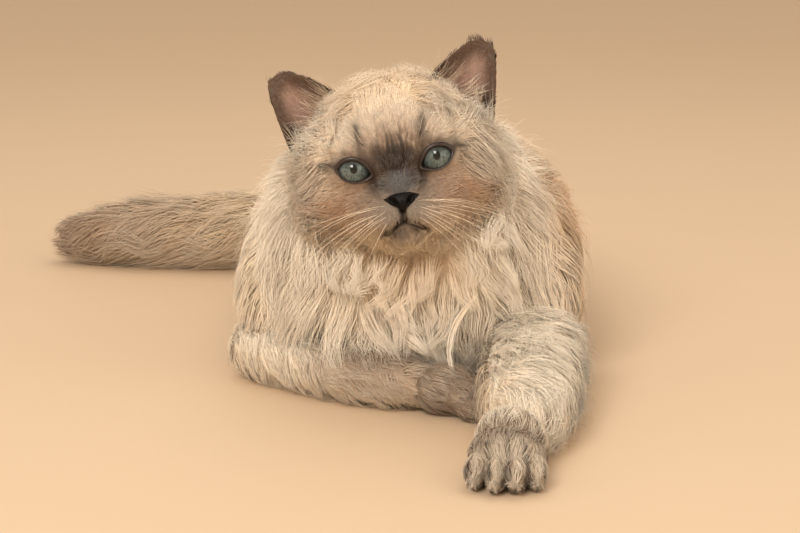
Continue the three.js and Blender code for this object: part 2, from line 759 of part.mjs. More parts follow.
const COLOURS = {
  cream: 0xdcc6a6,
  blue: 0x8d8177,
  mask: 0x9a8a7e,
  iris: 0x86a7a6,
  leather: 0x2b2626,
};
const FINISH = {
  cream: new THREE.MeshStandardMaterial({ color: COLOURS.cream, roughness: 0.9 }),
  blue: new THREE.MeshStandardMaterial({ color: COLOURS.blue, roughness: 0.9 }),
  mask: new THREE.MeshStandardMaterial({ color: COLOURS.mask, roughness: 0.9 }),
  iris: new THREE.MeshStandardMaterial({ color: COLOURS.iris, roughness: 0.1 }),
  leather: new THREE.MeshStandardMaterial({ color: COLOURS.leather, roughness: 0.5 }),
};
const FINISH_OF = {
  eye_left: "iris", eye_right: "iris", nose: "leather", head: "mask", ear_left: "blue", ear_right: "blue",
  forepaw_left: "blue", forepaw_right: "blue", forearm_right: "blue", hindpaw_left: "blue",
  hindpaw_right: "blue", tail_root: "blue", tail_middle: "blue", tail_tip: "blue",
};

const cat = new THREE.Group();
cat.name = "cat";
const headGroup = new THREE.Group();
headGroup.position.copy(headFrame.position);
headGroup.rotation.copy(headFrame.rotation);
cat.add(headGroup);
cat.updateMatrixWorld(true);

const grown = Object.fromEntries(ORDER.map((name) => [name, core(name, GAP)]));
const coats = Object.fromEntries(ORDER.map((name) => [name, locksOf(name)]));
const union = (pieces) => wasm.Manifold.union(pieces);
const done = [];
const cutters = [];
for (const name of ORDER) {
  let made = core(name);
  for (const before of done) made = made.subtract(grown[before]);
  if (coats[name].length) {
    let locks = union(coats[name].map((lock) => solid(lock(0))));
    for (const other of ORDER) if (other !== name) locks = locks.subtract(grown[other]);
    for (const cutter of cutters) locks = locks.subtract(cutter);
    made = made.add(locks);
  }
  if (name === "head") {
    for (const side of [1, -1]) made = made.subtract(solid(inWorld(lidOpening(side))));
    const groove = mouthGroove();
    made = made.subtract(groove.transform([...headFrame.matrixWorld.elements]));
  }
  if (name === "nose") {
    for (const side of [1, -1]) made = made.subtract(solid(inWorld(nostril(side))));
  }
  done.push(name);
  if (coats[name].length) cutters.push(union(coats[name].map((lock) => solid(lock(LOCK_GAP)))));
  const group = /^(eye|ear|nose|head)/.test(name) ? headGroup : cat;
  const geometry = geometryOf(largest(made));
  geometry.applyMatrix4(group.matrixWorld.clone().invert());
  const mesh = new THREE.Mesh(geometry, FINISH[FINISH_OF[name] ?? "cream"]);
  mesh.name = name;
  group.add(mesh);
}

export default cat;
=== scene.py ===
"""A long-haired Persian cat with blue-point markings, lying with its head up.

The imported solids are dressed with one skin, a coat of solid hair tufts, eyes, lids, a nose and
whiskers. Sizes are in millimetres until a mesh is made, +Z is up, the cat faces -Y and its own
left side is +X, as in the solids.
"""
import functools
import math

import bmesh
import bpy
import numpy as np
from bpy.props import FloatProperty, FloatVectorProperty, PointerProperty
from mathutils import Matrix, Vector
from mathutils.kdtree import KDTree


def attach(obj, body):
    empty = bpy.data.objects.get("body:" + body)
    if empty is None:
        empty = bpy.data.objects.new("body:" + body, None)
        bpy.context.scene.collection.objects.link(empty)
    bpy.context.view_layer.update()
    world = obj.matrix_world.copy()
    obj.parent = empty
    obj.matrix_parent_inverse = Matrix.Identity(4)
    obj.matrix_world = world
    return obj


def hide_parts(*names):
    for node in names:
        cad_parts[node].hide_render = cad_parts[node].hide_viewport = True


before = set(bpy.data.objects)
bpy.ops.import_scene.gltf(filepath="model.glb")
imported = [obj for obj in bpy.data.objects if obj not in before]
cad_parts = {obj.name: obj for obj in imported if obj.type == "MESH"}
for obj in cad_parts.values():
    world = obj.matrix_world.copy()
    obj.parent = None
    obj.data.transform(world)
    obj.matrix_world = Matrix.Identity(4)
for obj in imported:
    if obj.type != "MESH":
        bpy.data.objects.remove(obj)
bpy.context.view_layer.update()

bl_info = {
    "name": "Persian cat",
    "version": (1, 0, 0),
    "blender": (4, 5, 0),
    "location": "View3D > Sidebar > Persian cat",
    "description": "Skin, coat, eyes, nose and whiskers of a lying long-haired cat",
    "category": "Object",
}

MM = 0.001
SQUARE_CM = 100  # square millimetres in a square centimetre

# Driving sizes of the body, the same as the solids have
CORE_SHARE = 0.5  # of the coat's depth, where the skin lies
FLAT_COAT = 2.0  # depth of the coat under the body
HEAD_AT = np.array([-2.2, -138.0, 146.0])
HEAD_ROLL = 9.6
HEAD_PITCH = 3.0
EYE_APART = 49.2
EYE_RADIUS = 11.2
EYE_DEPTH = 31.5
EYE_HEIGHT = 2.0
NOSE_AT = (0.8, -54.5, -18.8)
EAR_THICKNESS = 2.2
EAR_FUR = 0.4  # depth of the fur on either face of an ear
EAR_SKIN = EAR_THICKNESS / 2 - EAR_FUR  # from the middle of an ear to its skin
MOUTH_HEIGHT = -30.6
MOUTH_HALF = 12.5
MOUTH_DROP = 6.2  # how far its corners lie below its middle
LIPS_HALF = 11.5  # half the width over which the lips' line shows
GROOVE_HEIGHT = -27.0  # middle of the groove between the nose and the lips
GROOVE_HALF = 3.5
EYE_HOLLOW = 8.0  # how deep the skin lies behind the opening of the lids
LIP_HOLLOW = 1.4
FACE_FUR = 1.6  # depth of the face's short fur
PAW_FUR = 2.4
FLOOR_CLEAR = 0.5  # the lowest that a hair lies

# The camera, in metres and degrees; the eyes look at it
CAMERA_AT = (0.0, -1.2096, 0.3084)
CAMERA_PITCH = 12.0


def linear(code):
    """The linear colour of an sRGB hex value."""
    parts = [int(code[i : i + 2], 16) / 255 for i in (1, 3, 5)]
    return tuple(c / 12.92 if c <= 0.04045 else ((c + 0.055) / 1.055) ** 2.4 for c in parts)


def colour_setting(name, description, code):
    """A user's colour, whose default is an sRGB hex value."""
    return FloatVectorProperty(name=name, description=description, subtype="COLOR", size=3,
                               min=0, max=1, default=linear(code))


def length_setting(name, description, millimetres):
    """A user's length, whose default is given in millimetres."""
    return FloatProperty(name=name, description=description, unit="LENGTH", min=0,
                         default=millimetres * MM)


class CatColours(bpy.types.PropertyGroup):
    """Colours of the coat, the bare parts and the floor."""
    cream: colour_setting("Cream", "Pale hair of the crown, the ruff and the body", "#fef2de")
    # Warm cream: the back's own colour, and also painted shade over the crown, under the chin, on the left
    # side and along the foreleg's inner side
    warm_cream_and_painted_shade: colour_setting("Warm cream", "Hair under the chin, along the back and low down", "#dfb88c")
    # Tan is also laid on the body as painted shade on its left side and in the chest's cleft
    tan: colour_setting("Tan", "Warm hair of the cheeks and the forehead", "#9a7356")
    mask: colour_setting("Mask", "Short hair of the face", "#7f6756")
    muzzle: colour_setting("Muzzle", "Grey hair of the whisker pads", "#8f8479")
    bridge: colour_setting("Bridge", "Blue-grey hair over the nose", "#74777a")
    # Brow is also laid on as painted shade in the hollow by the foreleg and between the toes
    brow: colour_setting("Brow", "Dark hair between the eyes and along the lids", "#24150c")
    chin: colour_setting("Chin", "Dark hair of the chin", "#4f423b")
    lid_rim: colour_setting("Lid rims", "Bare rims of the lids", "#1a100c")
    ear_rim: colour_setting("Ear rims", "Dark hair of the ears' backs and edges", "#5a4537")
    ear_inside: colour_setting("Ears inside", "Thinly furred inside of the ears", "#ab8d80")
    ear_hair: colour_setting("Ear hair", "Long pale hair at the ears' foot", "#dcc8b0")
    blue: colour_setting("Blue", "Blue-grey hair of the legs and the tail", "#b5a18c")
    blue_dark: colour_setting("Dark blue", "Darker hair on the legs and between the toes", "#857261")
    tail_root: colour_setting("Tail root", "Hair where the tail leaves the body", "#d9c3a6")
    tail_tip: colour_setting("Tail tip", "Hair at the end of the tail", "#927866")
    iris: colour_setting("Iris", "Pale rays of the iris", "#707b79")
    iris_rim: colour_setting("Iris shade", "Darker rays of the iris", "#38423f")
    leather: colour_setting("Nose leather", "Moist leather of the nose", "#0a0807")
    floor: colour_setting("Floor", "Board under the cat", "#ceb69a")


class CatSizes(bpy.types.PropertyGroup):
    """Sizes of the fine parts, and how finely the cat is made."""
    iris_radius: length_setting("Iris", "Radius of the iris, which fills the opening of the lids", 8.9)
    pupil_radius: length_setting("Pupil", "Half the height of the upright pupil", 2.8)
    cornea_bulge: length_setting("Cornea", "How far the cornea stands out of the eyeball", 1.6)
    lid_thickness: length_setting("Lid rims", "Half the width of the bare rims", 0.7)
    nose_width: length_setting("Nose width", "Width of the nose leather without its wings", 17.0)
    nose_height: length_setting("Nose height", "Height of the nose leather", 10.2)
    whisker_length: length_setting("Whisker length", "Length of the longest whiskers", 50.0)
    whisker_radius: length_setting("Whisker radius", "Radius of a whisker at its root", 0.095)
    skin_grain: length_setting("Skin grain", "Size of the voxels that join the skin", 3.5)
    hair_length: FloatProperty(name="Hair length", description="Share of the coat's own length",
                               subtype="FACTOR", default=1.0, min=0.2, max=1.5)
    hair_density: FloatProperty(name="Hair density", description="Share of the full number of tufts",
                                subtype="FACTOR", default=1.0, min=0.05, max=1.0)


class CatStage(bpy.types.PropertyGroup):
    """Light and camera on the stage."""
    key_power: FloatProperty(name="Key light", description="Power of the main light",
                             default=28.0, min=0, unit="POWER")
    fill_share: FloatProperty(name="Fill light", description="Power of the fill beside the key light",
                              default=0.3, min=0, max=1, subtype="FACTOR")
    world_strength: FloatProperty(name="Room light", description="Strength of the light all round",
                                  default=0.85, min=0)
    light_colour: FloatVectorProperty(name="Light colour", description="Colour of every lamp",
                                      subtype="COLOR", size=3, min=0, max=1,
                                      default=(1.0, 0.95, 0.88))
    room_colour: colour_setting("Room colour", "Colour of the light all round", "#fbe6cc")
    lens: FloatProperty(name="Lens", description="Focal length of the camera in millimetres",
                        default=81.0, min=10, subtype="DISTANCE_CAMERA")


def shade(name):
    """One of the user's colours."""
    return np.array(getattr(bpy.context.scene.cat_colours, name))


def size(name):
    """One of the user's sizes, in millimetres."""
    return getattr(bpy.context.scene.cat_sizes, name) / MM


# Numbers and curves

SWAY_WAYS = np.array([
    [0.8, 0.1, 0.6], [0.5, 0.3, -0.8], [-0.3, 0.9, 0.4],
    [0.1, -0.5, 0.9], [0.9, 0.4, 0.1], [0.6, -0.6, 0.5],
])


def smooth(value, low, high):
    """0 below low, 1 above high and a smooth step between them."""
    share = np.clip((value - low) / (high - low), 0, 1)
    return share * share * (3 - 2 * share)


def bump(*offsets):
    """1 where every (value, width) is 0, falling off as a bell."""
    return np.exp(-sum((value / width) ** 2 for value, width in offsets))


def patch(*offsets):
    """A bell with a flat top."""
    return np.exp(-sum((value / width) ** 2 for value, width in offsets) ** 2)


def unit(vectors):
    return vectors / np.maximum(np.linalg.norm(vectors, axis=-1, keepdims=True), 1e-9)


def dot(a, b):
    return (a * b).sum(-1, keepdims=True)


def sway(places, wave):
    """A smooth wandering direction, whose turns are about so many millimetres apart."""
    phase = places @ SWAY_WAYS.T * (2 * math.pi / wave)
    turns = [np.sin(phase[:, i] + i) + np.sin(1.7 * phase[:, i + 3] + 2 * i) for i in range(3)]
    return np.stack(turns, -1) / 2


def along(stations, share):
    """Values of a smooth line through the stations, at shares (0 to 1) of it."""
    stations = np.asarray(stations, float)
    first = 2 * stations[0] - stations[1]
    last = 2 * stations[-1] - stations[-2]
    padded = np.vstack([first, stations, last])
    at = np.clip(share, 0, 1) * (len(stations) - 1)
    i = np.minimum(at.astype(int), len(stations) - 2)
    w = (at - i)[..., None]
    before, start, end, after = padded[i], padded[i + 1], padded[i + 2], padded[i + 3]
    out, into = 0.5 * (end - before), 0.5 * (after - start)
    bend = 2 * start - 2 * end + out + into
    return start + w * (out + w * (3 * (end - start) - 2 * out - into + w * bend))


# Trunk, legs and tail: [x, y, z, half width, height above, height below, coat's depth]
UP = (0.0, 0.0, 1.0)
BACK = (0.0, 1.0, 0.0)
FORMS = {
    "front": dict(ref=BACK, blunt=4, stations=[
        [-2, -112, 182, 30, 32, 34, 14],
        [-1, -110, 150, 68, 48, 46, 32],
        [1, -104, 118, 90, 62, 60, 42],
        [2, -100, 84, 99, 68, 70, 46],
        [2, -98, 50, 97, 68, 74, 46],
        [2, -98, 20, 88, 66, 72, 40],
        [2, -98, 0, 82, 62, 66, 36],
    ]),
    "torso": dict(ref=UP, blunt=4, stations=[
        [2, -128, 62, 84, 76, 66, 30],
        [6, -72, 64, 114, 102, 74, 38],
        [10, -10, 62, 119, 104, 74, 38],
        [13, 50, 60, 120, 100, 74, 38],
        [12, 110, 57, 113, 93, 70, 34],
        [10, 160, 53, 99, 80, 66, 34],
        [8, 212, 48, 74, 56, 60, 30],
    ]),
    "shoulder_left": dict(ref=BACK, blunt=3, stations=[
        [70, -84, 122, 30, 34, 34, 18],
        [82, -86, 90, 36, 44, 44, 26],
        [86, -92, 56, 36, 46, 46, 28],
        [84, -98, 20, 32, 40, 40, 26],
    ]),
    "shoulder_right": dict(ref=BACK, blunt=3, stations=[
        [-58, -88, 118, 28, 34, 34, 18],
        [-70, -88, 88, 34, 44, 44, 26],
        [-75, -88, 54, 34, 46, 46, 28],
        [-72, -88, 18, 32, 40, 40, 26],
    ]),
    "forearm_left": dict(ref=UP, blunt=5, stations=[
        [86, -96, 38, 32, 26, 38, 24],
        [80, -148, 36, 37, 25, 38, 26],
        [75, -194, 31, 37, 23, 34, 24],
        [70, -234, 25, 31, 20, 28, 18],
        [63, -268, 18, 24, 17, 20, 10],
    ]),
    "forearm_right": dict(ref=UP, blunt=5, stations=[
        [-104, -84, 21, 24, 25, 23, 14],
        [-68, -118, 20, 24, 24, 22, 14],
        [-24, -154, 19, 23, 21, 21, 12],
        [22, -175, 17, 21, 18, 19, 10],
    ]),
    "thigh_left": dict(ref=UP, blunt=3, stations=[
        [66, 34, 44, 38, 44, 50, 24],
        [84, 84, 54, 46, 56, 62, 30],
        [84, 132, 54, 46, 56, 62, 30],
        [66, 190, 44, 38, 42, 50, 26],
    ]),
    "thigh_right": dict(ref=UP, blunt=3, stations=[
        [-42, 34, 44, 38, 44, 50, 24],
        [-60, 84, 54, 46, 56, 62, 30],
        [-60, 132, 54, 46, 56, 62, 30],
        [-42, 190, 44, 38, 42, 50, 26],
    ]),
    "tail": dict(ref=UP, blunt=5, stations=[
        [20, 176, 44, 30, 30, 40, 16],
        [0, 218, 39, 34, 32, 40, 20],
        [-44, 240, 37, 36, 34, 38, 22],
        [-108, 243, 35, 36, 33, 36, 22],
        [-170, 246, 33, 35, 32, 34, 22],
        [-230, 253, 29, 31, 28, 30, 20],
        [-286, 262, 22, 23, 20, 22, 14],
    ]),
}


def form_frame(form, share):
    """Centres, sides and ups of a form's sections."""
    line = np.array(form["stations"], float)[:, :3]
    step = 1e-3
    ahead = along(line, np.minimum(share + step, 1)) - along(line, np.maximum(share - step, 0))
    side = unit(np.cross(ahead, form["ref"]))
    return along(line, share), side, unit(np.cross(side, ahead))


def form_cap(form, share):
    """How wide a form still is at its rounded ends, as a share."""
    return np.sqrt(np.maximum(0, 1 - np.abs(2 * share - 1) ** form["blunt"]))


def form_places(form, share, angle):
    """The skin of a form, at shares along it and angles round it; a lying form's coat is crushed
    to FLAT_COAT where it lies on the floor."""
    centre, side, up = form_frame(form, share)
    radii = along(np.array(form["stations"], float)[:, 3:], share)
    cap = form_cap(form, share)
    inset = radii[..., 3] * CORE_SHARE
    lying = (np.sin(angle) < 0) & (form["ref"] == UP)
    tall = np.where(np.sin(angle) > 0, radii[..., 1], radii[..., 2]) - np.where(lying, FLAT_COAT, inset)
    across = (radii[..., 0] - inset) * cap * np.cos(angle)
    upward = tall * cap * np.sin(angle)
    places = centre + side * across[..., None] + up * upward[..., None]
    places[..., 2] = np.maximum(places[..., 2], FLOOR_CLEAR)
    return places


def form_depth(form, points):
    """How far points lie inside the skin of a form, in millimetres, roughly."""
    shares = np.linspace(0, 1, 61)
    centre, side, up = form_frame(form, shares)
    radii = along(np.array(form["stations"], float)[:, 3:], shares)
    cap = form_cap(form, shares)
    away = ((points[:, None, :] - centre[None]) ** 2).sum(-1)
    i = away.argmin(1)
    off = points - centre[i]
    inset = radii[i, 3] * CORE_SHARE
    above = (off * up[i]).sum(-1)
    tall = np.where(above > 0, radii[i, 1], radii[i, 2]) - inset
    wide = radii[i, 0] - inset
    reach = np.hypot((off * side[i]).sum(-1) / wide, above / tall)
    return (cap[i] - reach) * np.minimum(wide, tall)


# The head, in its own frame: centre of the skull, -Y to the nose, +Z up.
# [x, y, z, half width, half depth, half height]; one with x above 0 is on both sides
HEAD_FORMS = [
    [0, 2, 5, 48, 46, 43],
    [0, -19, 23, 34, 25, 23],
    [25, -7, -16, 25, 33, 25],
    [16, -24, -27, 20, 24, 17],
    [0, 0, -32, 32, 34, 22],
    [22, -33, 16, 14, 10.5, 7.5],
    [0, -43, -8, 8.5, 10.5, 12],
    [11.5, -44, -26, 13.5, 12.5, 11],
    [0, -38, -38, 12, 13, 9.5],
    [EYE_APART / 2, -EYE_DEPTH, EYE_HEIGHT, 14.2, 12.6, 12.8],
]
HEAD_BLEND = 2.6  # how softly the forms run into each other
HEAD_LEAST, HEAD_MOST = 25.0, 92.0  # between which the head's surface is looked for
HEAD_TURN = np.array(
    Matrix.Rotation(math.radians(-HEAD_ROLL), 3, "Y") @ Matrix.Rotation(math.radians(-HEAD_PITCH), 3, "X")
)


def to_world(local):
    return local @ HEAD_TURN.T + HEAD_AT


def to_head(world):
    return (world - HEAD_AT) @ HEAD_TURN


def head_distance(points):
    """Distance from the head's surface, over its blended forms; below 0 inside it."""
    total = np.zeros(points.shape[:-1])
    for form in HEAD_FORMS:
        for side in (1, -1) if form[0] > 0 else (1,):
            off = points * (side, 1, 1) - form[:3]
            extent = np.array(form[3:], float)
            near = np.sqrt(((off / extent) ** 2).sum(-1))
            slope = np.sqrt(((off / extent**2) ** 2).sum(-1))
            total += np.exp(-(near * (near - 1) / np.maximum(slope, 1e-6)) / HEAD_BLEND)
    return -HEAD_BLEND * np.log(np.maximum(total, 1e-30))


def head_coat(ways):
    """Depth of the long part of the head's coat, along directions from the skull's centre."""
    x, y, z = np.abs(ways[..., 0]), ways[..., 1], ways[..., 2]
    bare = smooth(-y, 0.3, 0.72)
    side = 12 * smooth(x, 0.6, 0.95) * (1 - smooth(z, 0.2, 0.7))
    crown = 4 * smooth(z, 0.3, 0.9)
    nape = 10 * smooth(y, 0, 0.8)
    return (2 + side + crown + nape) * (1 - bare)


def head_reach(ways):
    """How far the head's surface is from the skull's centre."""
    inner = np.full(ways.shape[:-1], HEAD_LEAST)
    outer = np.full(ways.shape[:-1], HEAD_MOST)
    for _ in range(16):
        middle = (inner + outer) / 2
        outside = head_distance(ways * middle[..., None]) > 0
        outer = np.where(outside, middle, outer)
        inner = np.where(outside, inner, middle)
    return inner


def head_ways(share, angle):
    """Directions by a share from the nose to the nape and an angle round the nose's axis."""
    polar = math.pi * (0.62 * share + 0.38 * share**3)
    return np.stack(
        [np.sin(polar) * np.cos(angle), -np.cos(polar), np.sin(polar) * np.sin(angle)], -1
    )


# The opening between the lids, from its outer corner over the top: outward and up from the centre
LID_SHAPE = np.array([
    [9.4, 2.2], [6.6, 5.4], [2.6, 6.9], [-1.6, 6.7], [-5.6, 4.6], [-8.2, 1.2],
    [-10.2, -4.0], [-7.4, -5.9], [-3.0, -6.9], [1.8, -6.3], [5.8, -4.2], [8.4, -1.0],
])


def lid_outline(shares):
    """Points on the lids' edge, at shares of the way round it."""
    around = np.vstack([LID_SHAPE[-2:], LID_SHAPE, LID_SHAPE[:3]])
    count = len(LID_SHAPE)
    return along(around, (2 + shares * count) / (count + 4))


def lid_offset(local):
    """Outward and up from the nearer eye's centre."""
    return np.abs(local[..., 0]) - EYE_APART / 2, local[..., 2] - EYE_HEIGHT


@functools.cache
def lid_radii():
    """Angles and radii of the lids' edge, by rising angle."""
    edge = lid_outline(np.linspace(0, 1, 240, endpoint=False))
    angle = np.arctan2(edge[:, 1], edge[:, 0])
    order = angle.argsort()
    return angle[order], np.hypot(edge[:, 0], edge[:, 1])[order]


def lid_reach(local):
    """Below 1 inside the opening between the lids, 1 on their edge."""
    out, up = lid_offset(local)
    angles, radii = lid_radii()
    return np.hypot(out, up) / np.interp(np.arctan2(up, out), angles, radii, period=2 * math.pi)


def mouth_line(x):
    """Height of the closed lips at a distance from the middle."""
    x = np.abs(x)
    return MOUTH_HEIGHT - MOUTH_DROP * smooth(x, 0.0, MOUTH_HALF)


def mouth_away(local):
    """Distance from the lips' line and the groove below the nose."""
    x, z = local[..., 0], local[..., 2]
    lips = np.hypot(z - mouth_line(x), np.maximum(0, np.abs(x) - LIPS_HALF))
    groove = np.hypot(x, np.maximum(0, np.abs(z - GROOVE_HEIGHT) - GROOVE_HALF))
    return np.minimum(lips, groove)


def head_skin(share, angle):
    """The head's skin in its own frame, with the eyes' openings and the lips' groove in it."""
    ways = head_ways(share, angle)
    surface = ways * (head_reach(ways) + head_coat(ways) * CORE_SHARE - FACE_FUR)[..., None]
    front = smooth(-ways[..., 1], 0.45, 0.6)
    surface[..., 1] += front * EYE_HOLLOW * (1 - smooth(lid_reach(surface), 0.86, 1.08))
    surface[..., 1] += front * LIP_HOLLOW * (1 - smooth(mouth_away(surface), 0.5, 2.2))
    return surface


# Ears, as shells between an inner edge, an outer edge and a tip
EAR_INNER = np.array([22.0, -8.0, 42.0])
EAR_OUTER = np.array([60.0, 2.0, 6.0])
EAR_TIP = np.array([65.0, 2.0, 61.0])
EAR_CUP = 22.0  # depth of the cup
EAR_BULGE = 5.0  # how far the edges swell between foot and tip
EAR_CREST = 4.0  # width of the tip
EAR_LOW = 0.9  # how much wider an ear grows below its foot, where it is sunk in the head


def ear_places(side, across, upward, off):
    """Places on an ear; off is the distance in front of its middle."""
    width = np.maximum(0, 1 - np.maximum(0, upward) ** 1.2) ** 0.85 * 0.97 + 0.03
    width = width + np.maximum(0, -upward) * EAR_LOW
    foot = EAR_INNER + (EAR_OUTER - EAR_INNER) * across[..., None]
    crest = EAR_TIP + np.stack([(across - 0.5) * EAR_CREST, 0 * across, 0 * across], -1)
    at = crest + (foot - crest) * width[..., None]
    swell = np.sin(np.pi * np.clip(across, 0, 1))
    full = EAR_BULGE * np.sin(np.pi * np.minimum(1, width) ** 0.6)
    at[..., 1] += EAR_CUP * swell * width * (1 - 0.35 * upward)
    at[..., 0] += full * (0.55 * across**2 - 0.25 * (1 - across) ** 2)
    at[..., 2] += full * (1 - across) ** 2
    out = unit(np.stack([-0.5 * (across - 0.5), -np.ones_like(across), 0.15 + 0 * across], -1))
    at = at + out * (off + 0 * across)[..., None]
    return at * (side, 1, 1)


# Paws: the back of the paw in ovals, and four toes across its front
TOES = 4
TOE_RISE = 0.86  # height of a toe's centre, as a share of its half height
PAWS = {
    "forepaw_left": dict(ovals=[[[60, -272, 15], [21, 24, 19]], [[57, -296, 13], [22, 24, 16]]],
                         toes=[56, -301], forward=[-0.08, -1], reach=18, step=10.6, size=[7.2, 14, 11]),
    "forepaw_right": dict(ovals=[[[26, -177, 15], [20, 18, 17]], [[36, -182, 13], [18, 17, 14]]],
                          toes=[37, -183], forward=[1, -0.35], reach=12, step=8.4, size=[6.4, 11, 9]),
    "hindpaw_left": dict(ovals=[[[98, 104, 14], [16, 44, 16]], [[104, 64, 12], [18, 22, 14]]],
                         toes=[104, 62], forward=[0.08, -1], reach=12, step=9, size=[6.4, 12, 10]),
    "hindpaw_right": dict(ovals=[[[-74, 104, 14], [16, 44, 16]], [[-80, 64, 12], [18, 22, 14]]],
                          toes=[-80, 62], forward=[-0.08, -1], reach=12, step=9, size=[6.4, 12, 10]),
}


def paw_ovals(paw):
    """Centre, size and turn about Z of each oval of a paw; the four toes come last."""
    made = [(np.array(at, float), np.array(extent, float), 0.0) for at, extent in paw["ovals"]]
    forward = unit(np.array(paw["forward"], float))
    sideways = np.array([-forward[1], forward[0]])
    for toe in range(TOES):
        off = (toe - (TOES - 1) / 2) * paw["step"]
        reach = paw["reach"] - (paw["step"] * 0.5 if toe in (0, TOES - 1) else 0)
        flat = np.array(paw["toes"], float) + sideways * off + forward * reach
        turn = math.atan2(forward[1], forward[0]) + math.pi / 2
        extent = np.array(paw["size"], float)
        made.append((np.array([*flat, extent[2] * TOE_RISE]), extent, turn))
    return made


def oval_places(oval, share, angle):
    """The skin of an oval: share runs from its back to its front, with its poles at the ends."""
    at, extent, turn = oval
    polar = math.pi * share
    ball = np.stack([np.sin(polar) * np.cos(angle), np.cos(polar), np.sin(polar) * np.sin(angle)], -1)
    ball = ball * (extent - PAW_FUR)
    c, s = math.cos(turn), math.sin(turn)
    places = np.stack(
        [ball[..., 0] * c - ball[..., 1] * s, ball[..., 0] * s + ball[..., 1] * c, ball[..., 2]], -1
    )
    places += at
    places[..., 2] = np.maximum(places[..., 2], FLOOR_CLEAR)
    return places


def oval_depth(oval, points):
    """How far points lie inside an oval's skin, roughly."""
    at, extent, turn = oval
    off = points - at
    c, s = math.cos(-turn), math.sin(-turn)
    off = np.stack([off[:, 0] * c - off[:, 1] * s, off[:, 0] * s + off[:, 1] * c, off[:, 2]], -1)
    return (1 - np.linalg.norm(off / (extent - PAW_FUR), axis=-1)) * (extent.min() - PAW_FUR)


# Grounds: surfaces kept as tables, on which hair is rooted and along which it lies
READ_SPAN = (0.012, 0.988)  # shares along a ground that are read, clear of its poles
ROOT_SPAN = (0.01, 0.99)  # shares between which hair is rooted
ALONG_SPAN = (0.015, 0.985)  # past these shares along a ground, hair runs on free of it
ROUND_SPAN = (0.01, 0.99)  # and past these, across a ground with open sides
EAR_RISE = 0.8  # height of the short hair on the ears
BURIED_IN_BODY = 2.5  # depths under another skin from which hair is left out
BURIED_IN_PAW = 1.0
EAR_IN_HEAD = 9.0


class Ground:
    """A surface by shares u along it and v round it, with its normals and its stretch."""

    def __init__(self, places, rise, closed=True, outward=None):
        self.closed = closed
        rows, columns = places.shape[:2]
        along_u = np.gradient(places, axis=0) * (rows - 1)
        if closed:
            along_v = (np.roll(places, -1, 1) - np.roll(places, 1, 1)) * columns / 2
        else:
            along_v = np.gradient(places, axis=1) * (columns - 1)
        normal = np.cross(along_u, along_v)
        self.area = np.linalg.norm(normal, axis=-1)
        normal = unit(normal)
        if outward is None:
            outward = places - places.mean(1, keepdims=True)
        if (normal * outward).sum() < 0:
            normal = -normal
        rise = np.broadcast_to(rise, (rows, columns))[..., None]
        self.table = np.concatenate([places, normal, along_u, along_v, rise], -1)
        self.rows, self.columns = rows, columns

    def at(self, u, v):
        """Places, normals, the two tangents and the coat's rise."""
        row = np.clip(u, *READ_SPAN) * (self.rows - 1)
        column = v * self.columns if self.closed else np.clip(v, 0, 1) * (self.columns - 1)
        i = np.clip(np.floor(row).astype(int), 0, self.rows - 2)
        j = np.floor(column).astype(int)
        if not self.closed:
            j = np.clip(j, 0, self.columns - 2)
        a, b = (row - i)[:, None], (column - j)[:, None]
        left, right = j % self.columns, (j + 1) % self.columns
        low = self.table[i, left] * (1 - b) + self.table[i, right] * b
        high = self.table[i + 1, left] * (1 - b) + self.table[i + 1, right] * b
        value = low * (1 - a) + high * a
        return value[:, :3], unit(value[:, 3:6]), value[:, 6:9], value[:, 9:12], value[:, 12]

    def scatter(self, rng, density, span=(0.0, 1.0)):
        """Roots spread evenly, so many to a square centimetre, between two shares along it."""
        shares = np.linspace(0, 1, self.rows)
        inside = (shares >= span[0]) & (shares <= span[1])
        cells = self.rows * self.columns if self.closed else (self.rows - 1) * (self.columns - 1)
        expected = self.area * inside[:, None] / cells * density / SQUARE_CM
        count = rng.poisson(expected)
        i, j = np.nonzero(count)
        i, j = np.repeat(i, count[i, j]), np.repeat(j, count[i, j])
        u = (i + rng.random(len(i)) - 0.5) / (self.rows - 1)
        across = j + rng.random(len(j)) - 0.5
        v = across / self.columns if self.closed else across / (self.columns - 1)
        return np.clip(u, *ROOT_SPAN), v if self.closed else np.clip(v, *ROOT_SPAN)


def grid(rows, columns, closed=True):
    """Shares along a table and shares round it."""
    u = np.linspace(0, 1, rows)
    v = np.arange(columns) / columns if closed else np.linspace(0, 1, columns)
    return np.meshgrid(u, v, indexing="ij")


@functools.cache
def grounds():
    """Every surface that carries hair, by name."""
    made = {}
    for name, form in FORMS.items():
        u, v = grid(96, 96)
        rise = along(np.array(form["stations"], float)[:, 6:], u)[..., 0] * (1 - CORE_SHARE)
        made[name] = Ground(form_places(form, u, 2 * math.pi * v), rise)
    u, v = grid(150, 240)
    local = head_skin(u, 2 * math.pi * v)
    rise = FACE_FUR + head_coat(unit(local)) * (1 - CORE_SHARE)
    made["head"] = Ground(to_world(local), rise, outward=local @ HEAD_TURN.T)
    for side, word in ((1, "left"), (-1, "right")):
        u, v = grid(40, 40, False)
        for face, name in ((1, "front"), (-1, "back")):
            ear = to_world(ear_places(side, v, u * 1.02 - 0.02, np.full_like(u, face * EAR_SKIN)))
            made[f"ear_{name}_{word}"] = Ground(ear, EAR_RISE, False, HEAD_TURN @ (0, -face, 0))
    for name, paw in PAWS.items():
        for i, oval in enumerate(paw_ovals(paw)):
            u, v = grid(32, 48)
            made[f"{name}_{i}"] = Ground(oval_places(oval, u, 2 * math.pi * v), PAW_FUR)
    return made


